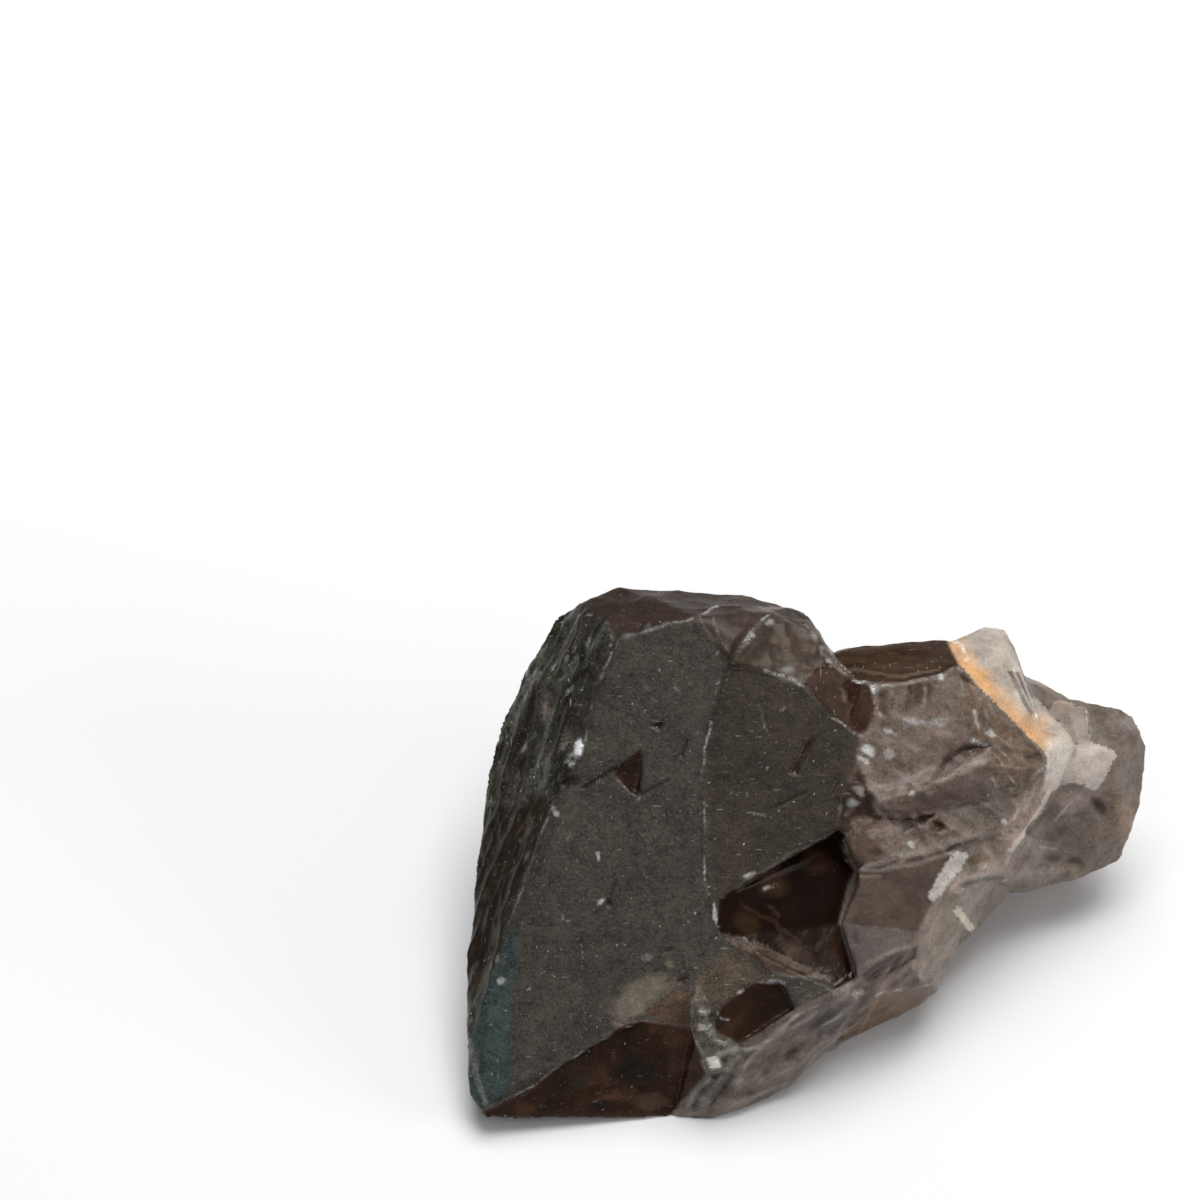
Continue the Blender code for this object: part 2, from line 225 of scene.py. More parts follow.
CHIP = [
    (73.2, 66.5), (74.4, 64.2), (75.6, 62.8), (77.2, 61.0), (79.8, 60.9), (81.4, 62.2), (82.6, 64.6), (83.4, 66.5),
    (81.6, 66.7), (80.3, 68.5), (76.4, 67.2),
]
BROWN_PATCH = [
    (80.4, 68.3), (81.6, 66.7), (83.2, 66.5), (85.2, 68.1), (87.2, 68.6), (87.6, 70.6), (87.0, 73.3), (85.8, 73.6),
    (83.0, 71.5),
]
BLOCK_TOP = [
    (83.2, 65.4), (86.5, 64.2), (91.0, 63.6), (95.0, 63.4), (95.8, 65.0), (96.1, 66.5), (94.0, 67.5),
    (90.5, 68.3), (87.0, 68.3), (85.0, 67.9),
]
BLOCK_FRONT = [
    (86.9, 68.4), (90.5, 68.4), (94.0, 67.6), (96.4, 66.6), (99.5, 71.3), (104.6, 75.9), (104.9, 78.2), (102.6, 81.8),
    (101.0, 84.8), (98.8, 86.8), (95.0, 85.0), (92.0, 86.2), (88.0, 87.1), (84.9, 86.4), (84.2, 82.6), (84.0, 79.6),
    (85.8, 76.0), (86.4, 73.6), (87.6, 70.6),
]
BLOCK_BROWN = [(96.4, 66.6), (99.5, 71.3), (104.6, 75.9), (104.6, 77.0), (101.0, 79.0), (97.0, 76.0), (96.5, 71.0)]
BLOCK_GREY_FACET = [(93.5, 80.6), (99.0, 79.2), (102.4, 78.4), (102.0, 81.5), (99.5, 82.8), (95.5, 83.4)]
BLOCK_SHADE = [(83.9, 79.4), (85.6, 76.5), (86.8, 79.0), (88.0, 80.6), (87.8, 82.0), (85.0, 83.6), (83.8, 82.8)]
PINK_LEDGE = [(85.6, 87.2), (89.0, 85.4), (95.8, 83.7), (101.0, 82.0), (100.6, 84.2), (96.0, 85.2), (90.5, 86.2)]
LOWER_BAND = [(104.8, 76.6), (104.8, 79.2), (101.2, 84.8), (99.5, 87.0), (97.0, 86.6), (100.6, 82.4), (102.8, 79.4)]
UPPER_FACET = [(85.9, 87.1), (88.0, 86.6), (95.0, 84.8), (94.8, 86.6), (93.6, 89.5), (91.8, 93.2), (84.0, 92.3)]
LOWER_FACET = [(84.0, 92.3), (91.8, 93.2), (91.0, 94.4), (87.2, 96.3), (85.5, 97.6)]
DARK_CHINK = [(86.2, 97.4), (88.6, 95.8), (91.8, 94.5), (91.6, 95.8), (89.4, 97.2), (86.6, 98.2)]
OUTER_SLOPE = [
    (93.4, 90.6), (96.0, 87.0), (99.6, 88.4), (104.0, 88.5), (97.2, 94.8), (96.0, 95.0), (93.6, 98.4), (91.8, 98.4),
]
LOWER_FLANK = [
    (73.8, 105.2), (77.2, 103.9), (79.6, 101.6), (81.2, 100.4), (84.1, 99.4), (87.2, 96.8), (90.4, 95.2), (92.0, 98.0),
    (86.0, 104.0), (80.0, 112.0), (66.0, 113.0), (68.2, 110.4), (70.8, 107.4),
]
PURPLE_FACET = [(79.6, 101.8), (82.0, 100.5), (87.4, 99.4), (84.6, 101.9), (83.6, 103.9), (81.4, 103.4)]
BROWN_SKIRT = [(83.6, 103.9), (84.8, 102.2), (87.4, 99.6), (90.0, 98.9), (93.2, 98.2), (93.6, 100.2), (86.0, 104.6)]
WINDOW = [
    (83.8, 82.9), (71.9, 89.8), (71.7, 93.2), (74.6, 94.1), (77.1, 94.9), (80.8, 96.9), (82.6, 97.6),
    (83.5, 98.9), (85.5, 97.8), (84.0, 92.3), (85.4, 87.4), (84.8, 85.5), (84.6, 83.7),
]
WINDOW_BEVEL = [
    (72.6, 93.6), (74.6, 94.1), (77.1, 94.9), (80.8, 96.9), (82.4, 97.5), (79.0, 97.5), (76.5, 97.2), (74.6, 95.6),
]
SMALL_WINDOW = [(72.3, 100.6), (75.7, 98.2), (78.2, 98.4), (79.4, 100.9), (76.0, 103.1), (73.6, 104.6), (70.9, 104.0)]
GLASSY_EDGE = [(69.4, 99.6), (71.2, 100.8), (71.4, 103.2), (74.8, 104.6), (73.4, 107.2), (70.6, 107.2), (69.2, 103.0)]
WHITE_CHIP = [(70.7, 105.8), (71.8, 105.6), (72.0, 106.8), (71.0, 107.0)]
KNOB_TOP = [(84.8, 81.8), (87.4, 81.6), (87.2, 83.2), (85.4, 83.5)]
DARK_STRIPES = [(71.0, 107.4), (73.8, 107.0), (71.2, 110.4), (69.4, 111.2), (68.6, 110.6)]
PIT = [(64.2, 74.8), (64.0, 78.9), (63.6, 79.8), (61.4, 77.5), (61.2, 76.9)]
SMALL_PIT = [(65.1, 72.6), (66.3, 72.1), (66.0, 73.0)]
SLIT = [(68.9, 73.8), (68.5, 74.9), (68.1, 76.3), (68.3, 74.6)]
BROWN_SLIT = [(79.0, 77.2), (79.9, 75.9), (80.4, 74.7), (81.4, 73.7), (80.9, 75.1), (80.0, 76.4), (79.7, 77.5)]
HAZE_BEIGE = [(61.2, 100.6), (62.4, 98.9), (65.2, 97.6), (67.2, 98.4), (65.4, 100.4), (63.6, 101.6), (61.8, 102.0)]
HAZE_BROWN = [(64.4, 101.4), (66.4, 99.6), (68.0, 98.8), (69.4, 99.8), (69.4, 102.6), (66.4, 102.4)]
HAZE_OLIVE = [
    (70.0, 97.2), (72.4, 95.4), (75.4, 97.0), (78.0, 98.0), (75.6, 98.2), (72.3, 100.4), (70.6, 101.4), (69.4, 99.4),
]
CREAM_FLAKE = [
    (95.4, 85.2), (96.8, 85.3), (96.4, 86.7), (94.6, 88.6), (94.3, 89.3), (93.2, 90.3), (92.7, 89.7), (93.8, 87.6),
]
CREAM_BAR = [(95.2, 91.1), (95.8, 90.6), (97.5, 92.9), (96.9, 93.2)]
LENS = [(100.7, 67.1), (101.9, 67.3), (103.5, 71.4), (103.0, 71.7)]
TAIL_LIGHT = [
    (107.6, 74.6), (109.2, 74.2), (110.5, 74.8), (111.5, 75.2), (111.6, 75.8), (111.0, 77.1), (110.3, 78.2), (109.5, 79.1),
    (108.0, 78.5), (106.0, 78.6), (106.7, 76.4),
]
TAIL_BEIGE = [
    (104.6, 71.4), (105.8, 70.0), (108.5, 70.8), (109.0, 73.4), (109.2, 74.2), (107.6, 74.6), (106.6, 73.0), (105.8, 72.2),
]
TAIL_GREY = [(105.0, 80.0), (106.0, 78.6), (108.0, 78.5), (109.5, 79.1), (107.4, 80.4), (105.4, 82.0), (102.8, 84.6)]
TAIL_BROWN = [(101.4, 67.2), (103.6, 68.8), (106.0, 69.8), (104.6, 71.6), (103.6, 71.6)]

BLOCK_STREAKS = [(86.9, 68.6), (94.0, 67.8), (96.4, 66.8), (99.5, 71.3), (97.0, 72.4), (88.0, 72.0)]
BLOCK_CRUMBS = [(88.2, 81.2), (95.4, 80.4), (96.2, 83.2), (90.0, 84.8), (88.2, 84.0)]
WHITE_BAND = [
    (96.4, 64.4), (98.6, 62.3), (100.4, 62.8), (101.4, 64.8), (102.2, 67.2), (103.6, 71.4), (106.0, 72.3), (107.3, 73.8),
    (107.6, 74.9), (106.7, 76.4), (106.0, 78.7), (104.9, 79.6), (104.4, 79.0), (104.7, 75.9), (102.1, 71.3), (98.5, 66.6),
]
BAND_LINE = [(104.9, 79.2), (103.9, 81.3), (102.5, 83.1), (101.1, 85.0)]
SMOOTH_FACES = (
    FRONT_FACE, DARK_FACE, WINDOW, SMALL_WINDOW, UPPER_FACET, LOWER_FACET, PURPLE_FACET, BROWN_PATCH, BLOCK_TOP, BROWN_SKIRT,
    DARK_CHINK, TAIL_LIGHT, TAIL_BEIGE,
)

# Colours as linear red, green and blue.
FILM = (0.086, 0.077, 0.063)
FILM_BROWN = (0.066, 0.051, 0.037)
TEAL = (0.057, 0.093, 0.091)
NEARLY_BLACK = (0.023, 0.009, 0.004)
CLEAR_BROWN = (0.018, 0.006, 0.002)
BARK = (0.052, 0.051, 0.036)
WHITE_CRUMB = (0.90, 0.88, 0.84)

# Outline, colour, roughness, softness of the edge and how far it wanders, in millimetres.
TONES = [
    (LEFT_FLANK, BARK, 0.34, 0.25, 0.1),
    (FLANK_LOW, (0.025, 0.014, 0.006), 0.38, 1.5, 0.5),
    (BROW, (0.047, 0.025, 0.015), 0.50, 0.3, 0.15),
    (FRONT_FACE, FILM, 0.46, 0.15, 0.0),
    (FRONT_RIGHT, FILM_BROWN, 0.46, 0.8, 0.3),
    (TEAL_STRIP, TEAL, 0.42, 0.3, 0.2),
    (DARK_FACE, NEARLY_BLACK, 0.24, 0.12, 0.1),
    (HAZE_BEIGE, (0.345, 0.286, 0.219), 0.45, 0.9, 0.5),
    (HAZE_OLIVE, (0.157, 0.116, 0.080), 0.42, 0.5, 0.3),
    (HAZE_BROWN, (0.17, 0.105, 0.070), 0.34, 0.35, 0.2),
    (PINK_FACET, (0.080, 0.050, 0.034), 0.45, 0.15, 0.1),
    (CHIP, (0.090, 0.062, 0.043), 0.48, 0.2, 0.15),
    (BROWN_PATCH, (0.031, 0.013, 0.007), 0.40, 0.12, 0.08),
    (BLOCK_TOP, (0.038, 0.018, 0.009), 0.40, 0.2, 0.1),
    (BLOCK_FRONT, (0.298, 0.225, 0.182), 0.40, 0.25, 0.2),
    (BLOCK_BROWN, (0.264, 0.182, 0.130), 0.34, 0.9, 0.4),
    (BLOCK_GREY_FACET, (0.30, 0.245, 0.200), 0.40, 0.25, 0.2),
    (BLOCK_SHADE, (0.075, 0.045, 0.028), 0.22, 0.4, 0.4),
    (PINK_LEDGE, (0.40, 0.32, 0.27), 0.36, 0.4, 0.2),
    (LOWER_BAND, (0.66, 0.50, 0.415), 0.34, 0.3, 0.1),
    (OUTER_SLOPE, (0.42, 0.34, 0.28), 0.32, 0.3, 0.2),
    (LOWER_FLANK, (0.262, 0.203, 0.174), 0.30, 0.2, 0.15),
    (PURPLE_FACET, (0.17, 0.135, 0.130), 0.28, 0.2, 0.05),
    (BROWN_SKIRT, (0.184, 0.106, 0.055), 0.20, 0.15, 0.05),
    (UPPER_FACET, (0.182, 0.130, 0.100), 0.35, 0.12, 0.05),
    (LOWER_FACET, (0.29, 0.235, 0.215), 0.38, 0.12, 0.0),
    (DARK_CHINK, (0.11, 0.080, 0.068), 0.25, 0.15, 0.1),
    (WINDOW, CLEAR_BROWN, 0.16, 0.10, 0.0),
    (WINDOW_BEVEL, (0.120, 0.074, 0.050), 0.45, 0.15, 0.1),
    (SMALL_WINDOW, (0.060, 0.028, 0.014), 0.16, 0.12, 0.1),
    (GLASSY_EDGE, (0.20, 0.18, 0.14), 0.22, 0.3, 0.4),
    (DARK_STRIPES, (0.10, 0.08, 0.07), 0.25, 0.15, 0.1),
    (PIT, (0.055, 0.026, 0.018), 0.18, 0.10, 0.0),
    (SMALL_PIT, (0.035, 0.018, 0.012), 0.20, 0.08, 0.0),
    (SLIT, (0.035, 0.018, 0.012), 0.20, 0.08, 0.0),
    (BROWN_SLIT, (0.060, 0.030, 0.018), 0.20, 0.12, 0.05),
    (LENS, (0.36, 0.31, 0.26), 0.30, 0.10, 0.0),
    (TAIL_BROWN, (0.32, 0.26, 0.22), 0.30, 0.2, 0.1),
    (TAIL_GREY, (0.52, 0.45, 0.40), 0.36, 0.4, 0.2),
]

# Centre, radii, turn in degrees, colour, strength and wander.
SPOTS = [
    ((98.6, 75.6), (3.6, 1.3), -38.0, (0.25, 0.175, 0.130), 0.8, 0.6),
    ((86.4, 84.3), (2.6, 2.6), 0.0, (0.200, 0.130, 0.088), 0.8, 0.3),
    ((86.0, 82.4), (1.9, 1.5), 0.0, (0.088, 0.060, 0.044), 1.0, 0.1),
    ((86.4, 70.6), (1.3, 2.6), 0.0, (0.062, 0.034, 0.022), 0.8, 0.4),
    ((70.8, 102.7), (0.6, 0.5), 0.0, (0.16, 0.18, 0.18), 0.8, 0.1),
    ((105.7, 76.2), (2.2, 3.4), 0.0, (0.60, 0.535, 0.470), 0.9, 0.2),
    ((94.0, 79.6), (5.6, 0.9), 8.0, (0.17, 0.115, 0.085), 0.75, 0.5),
    ((90.0, 78.0), (3.4, 1.0), 16.0, (0.42, 0.36, 0.32), 0.7, 0.5),
    ((96.2, 76.4), (3.0, 0.6), 25.0, (0.40, 0.34, 0.30), 0.7, 0.3),
    ((100.0, 80.6), (1.8, 1.2), 0.0, (0.24, 0.20, 0.175), 0.6, 0.4),
    ((103.4, 79.6), (1.0, 2.6), -32.0, (0.60, 0.46, 0.37), 0.7, 0.3),
    ((99.5, 85.1), (1.9, 1.9), 0.0, (0.30, 0.225, 0.18), 0.95, 0.3),
    ((80.6, 97.2), (1.4, 0.6), 18.0, (0.065, 0.035, 0.020), 0.8, 0.1),
    ((88.2, 73.4), (2.2, 1.6), 0.0, (0.24, 0.19, 0.16), 0.6, 0.6),
    ((92.8, 74.6), (1.2, 0.9), 20.0, (0.21, 0.17, 0.135), 0.7, 0.4),
    # Whitish patches on the block's milky front, with painted reflections in them.
    ((91.6, 72.3), (1.5, 0.7), 0.0, (0.85, 0.80, 0.80), 0.6, 0.6),
    ((93.8, 72.0), (1.5, 0.6), -5.0, (0.70, 0.68, 0.64), 0.7, 0.5),
    ((88.6, 73.1), (0.6, 0.35), -25.0, (0.95, 0.93, 0.90), 1.0, 0.3),
    # Painted highlights along the block's left border: this spot and the next two.
    ((86.9, 75.0), (0.75, 0.6), 30.0, (0.95, 0.93, 0.90), 1.0, 0.5),
    ((86.5, 76.1), (0.65, 0.45), -30.0, (0.95, 0.93, 0.90), 1.0, 0.5),
    ((88.9, 75.4), (0.8, 0.45), 0.0, (0.85, 0.76, 0.72), 0.9, 0.3),
    ((85.9, 79.0), (0.9, 0.5), -30.0, (0.70, 0.62, 0.56), 0.9, 0.7),
    ((85.0, 80.2), (0.75, 0.6), 0.0, (0.62, 0.62, 0.58), 0.95, 0.5),
    ((87.5, 80.5), (0.8, 1.2), 10.0, (0.40, 0.37, 0.34), 0.8, 0.4),
    ((91.0, 79.4), (0.5, 0.3), 20.0, (0.95, 0.93, 0.90), 0.9, 0.3),
    ((91.0, 84.2), (0.6, 0.45), 0.0, (0.95, 0.93, 0.90), 0.9, 0.3),
    ((90.6, 82.2), (1.6, 0.7), 25.0, (0.42, 0.38, 0.33), 0.8, 0.4),
    ((90.2, 85.0), (1.4, 0.6), 15.0, (0.26, 0.26, 0.18), 0.6, 0.4),
    ((94.2, 67.8), (0.4, 0.5), 0.0, (0.95, 0.93, 0.90), 1.0, 0.2),
    ((95.8, 67.2), (0.5, 0.5), 0.0, (0.46, 0.45, 0.42), 0.8, 0.2),
    ((87.6, 68.9), (0.7, 0.5), -30.0, (0.62, 0.64, 0.60), 0.9, 0.4),
    ((100.4, 82.2), (0.5, 0.3), -30.0, (0.95, 0.93, 0.90), 1.0, 0.2),
    ((84.1, 69.5), (0.5, 0.9), 30.0, (0.15, 0.11, 0.09), 0.8, 0.5),
    ((56.5, 108.4), (4.6, 1.5), 33.0, (0.012, 0.007, 0.005), 0.7, 0.4),
    # Lighter brown in the window's right part, partly painted light seen through the quartz.
    ((82.8, 94.6), (1.3, 3.0), 0.0, (0.062, 0.032, 0.017), 0.7, 0.4),
    ((93.9, 82.6), (1.3, 0.75), -10.0, (0.085, 0.045, 0.022), 0.95, 0.3),
    ((87.7, 85.2), (1.1, 0.7), -10.0, (0.11, 0.065, 0.030), 0.9, 0.25),
    ((97.5, 86.1), (1.3, 0.8), 20.0, (0.17, 0.110, 0.065), 0.9, 0.1),
    ((95.2, 76.2), (1.9, 0.75), 32.0, (0.13, 0.095, 0.072), 0.9, 0.2),
    ((97.0, 75.1), (1.5, 0.4), 5.0, (0.15, 0.11, 0.085), 0.8, 0.2),
    ((107.2, 80.0), (2.6, 1.4), -15.0, (0.46, 0.375, 0.315), 0.9, 0.4),
    ((110.6, 79.0), (1.0, 1.6), -30.0, (0.26, 0.22, 0.185), 0.7, 0.4),
    ((109.8, 80.6), (0.9, 1.3), 25.0, (0.085, 0.052, 0.034), 1.0, 0.3),
    ((105.2, 85.8), (1.3, 0.6), 8.0, (0.115, 0.080, 0.077), 0.9, 0.3),
    ((107.4, 86.0), (1.2, 0.6), -10.0, (0.095, 0.060, 0.038), 0.9, 0.3),
    ((107.0, 82.4), (1.6, 1.2), 0.0, (0.30, 0.255, 0.225), 0.6, 0.5),
    ((112.4, 74.4), (0.5, 0.45), 0.0, (0.22, 0.18, 0.16), 0.9, 0.2),
    ((109.5, 73.2), (1.0, 1.0), 20.0, (0.30, 0.255, 0.225), 0.8, 0.4),
    ((113.0, 72.4), (1.6, 1.3), 0.0, (0.46, 0.40, 0.37), 0.6, 0.4),
    ((112.2, 81.4), (1.2, 2.6), 15.0, (0.49, 0.335, 0.240), 0.8, 0.4),
    ((103.2, 87.6), (3.6, 0.8), 5.0, (0.44, 0.38, 0.34), 0.6, 0.4),
    # Tones in the window: its inner veils and cracks, with painted reflections among them.
    ((74.8, 92.2), (2.0, 1.4), -50.0, (0.070, 0.036, 0.016), 0.8, 0.4),
    ((77.2, 88.2), (2.0, 1.6), 10.0, (0.105, 0.050, 0.024), 0.8, 0.4),
    ((81.6, 86.2), (1.9, 1.9), 10.0, (0.080, 0.036, 0.016), 0.8, 0.4),
    ((80.0, 90.5), (1.7, 1.4), 0.0, (0.020, 0.010, 0.006), 0.8, 0.4),
    ((75.2, 90.0), (1.6, 0.8), 35.0, (0.016, 0.009, 0.006), 0.9, 0.3),
    ((79.4, 95.0), (2.6, 1.0), -32.0, (0.120, 0.070, 0.045), 0.7, 0.3),
    ((83.6, 95.5), (1.0, 2.6), 10.0, (0.090, 0.048, 0.026), 0.7, 0.3),
    ((73.2, 102.6), (1.6, 1.0), 30.0, (0.085, 0.045, 0.022), 0.8, 0.3),
    ((76.8, 100.8), (1.6, 1.2), 30.0, (0.035, 0.016, 0.010), 0.7, 0.3),
    ((64.4, 107.0), (2.0, 0.9), 0.0, (0.008, 0.006, 0.005), 0.9, 0.5),
    ((62.0, 109.6), (3.6, 1.0), 5.0, (0.075, 0.036, 0.020), 0.7, 0.7),
    ((68.0, 106.4), (1.2, 2.0), 0.0, (0.060, 0.030, 0.018), 0.6, 0.6),
    ((76.2, 64.6), (1.3, 0.6), 30.0, (0.070, 0.042, 0.025), 0.7, 0.5),
    ((79.0, 65.8), (1.4, 0.7), 10.0, (0.085, 0.058, 0.038), 0.6, 0.5),
    ((79.8, 63.2), (1.2, 0.7), -30.0, (0.24, 0.200, 0.165), 0.6, 0.5),
    ((60.0, 110.4), (1.6, 0.7), 20.0, (0.008, 0.006, 0.005), 0.9, 0.3),
    ((65.0, 110.2), (2.6, 1.2), 10.0, (0.070, 0.040, 0.026), 0.8, 0.5),
    ((58.0, 108.0), (2.6, 0.9), 25.0, (0.020, 0.014, 0.010), 0.7, 0.5),
    ((50.1, 98.1), (0.55, 0.5), 0.0, (0.66, 0.68, 0.70), 1.0, 0.0),
    ((64.6, 95.6), (0.9, 0.5), 10.0, (0.30, 0.28, 0.25), 0.7, 0.3),
    ((66.9, 96.4), (0.6, 0.7), 30.0, (0.32, 0.27, 0.20), 0.8, 0.3),
    ((66.9, 95.0), (0.7, 0.28), 30.0, (0.035, 0.018, 0.010), 1.0, 0.0),
    ((65.6, 97.0), (0.45, 0.22), 10.0, (0.035, 0.018, 0.010), 1.0, 0.0),
    ((68.3, 98.0), (0.8, 0.45), 40.0, (0.080, 0.044, 0.026), 1.0, 0.1),
    ((61.0, 90.5), (0.5, 0.45), 0.0, (0.050, 0.026, 0.018), 1.0, 0.1),
    ((60.2, 90.2), (0.6, 0.3), 35.0, WHITE_CRUMB, 0.9, 0.1),
    ((57.8, 75.0), (0.75, 1.35), -8.0, (0.80, 0.80, 0.82), 1.0, 0.25),
    ((57.2, 76.4), (0.5, 0.4), 0.0, (0.70, 0.70, 0.72), 0.9, 0.2),
    ((57.0, 78.2), (1.3, 0.7), 20.0, (0.030, 0.020, 0.014), 0.9, 0.2),
    ((54.7, 70.4), (0.5, 1.6), -15.0, (0.26, 0.21, 0.17), 0.7, 0.4),
    ((57.5, 66.8), (0.4, 1.6), -15.0, (0.16, 0.19, 0.17), 0.7, 0.3),
    ((53.6, 73.8), (0.9, 3.0), 0.0, (0.030, 0.026, 0.022), 0.7, 0.6),
    ((51.5, 79.0), (1.0, 3.2), -10.0, (0.14, 0.115, 0.095), 0.6, 0.6),
    ((52.8, 82.6), (0.8, 1.2), 0.0, (0.10, 0.080, 0.050), 0.7, 0.4),
    ((47.6, 106.0), (0.4, 2.4), 5.0, (0.20, 0.20, 0.18), 0.7, 0.2),
    ((66.0, 62.6), (1.6, 0.3), 15.0, (0.30, 0.29, 0.27), 0.6, 0.5),
    ((62.6, 63.8), (0.8, 0.4), 0.0, (0.15, 0.17, 0.17), 0.6, 0.4),
    ((71.6, 105.8), (0.6, 0.4), 10.0, WHITE_CRUMB, 1.0, 0.2),
    ((73.6, 105.0), (0.9, 0.35), 25.0, (0.60, 0.56, 0.50), 0.9, 0.3),
    ((70.9, 103.4), (0.5, 0.9), 20.0, (0.40, 0.39, 0.35), 0.8, 0.4),
    ((70.1, 101.2), (0.5, 0.6), 0.0, (0.46, 0.44, 0.40), 0.8, 0.3),
    ((72.4, 105.9), (0.6, 0.4), 0.0, (0.050, 0.034, 0.024), 0.9, 0.2),
    ((70.0, 104.8), (0.7, 0.5), 0.0, (0.060, 0.042, 0.028), 0.8, 0.3),
    ((78.6, 67.0), (1.1, 0.6), -15.0, (0.30, 0.31, 0.27), 0.8, 0.4),
    ((77.2, 62.4), (0.6, 0.4), 0.0, WHITE_CRUMB, 0.6, 0.4),
    ((71.5, 106.4), (0.8, 0.55), 10.0, WHITE_CRUMB, 1.0, 0.1),
    ((78.9, 106.3), (1.0, 0.5), 25.0, (0.50, 0.44, 0.38), 0.8, 0.3),
    ((76.6, 107.2), (1.1, 0.5), 25.0, (0.11, 0.075, 0.055), 0.8, 0.3),
    ((79.0, 105.2), (1.0, 0.5), 25.0, (0.13, 0.090, 0.070), 0.8, 0.3),
    ((92.0, 97.5), (0.35, 1.0), 8.0, (0.62, 0.56, 0.50), 0.9, 0.1),
    ((82.0, 106.0), (3.0, 1.5), 35.0, (0.36, 0.29, 0.24), 0.6, 0.5),
    ((96.0, 93.2), (1.6, 1.0), 40.0, (0.30, 0.23, 0.17), 0.7, 0.3),
]

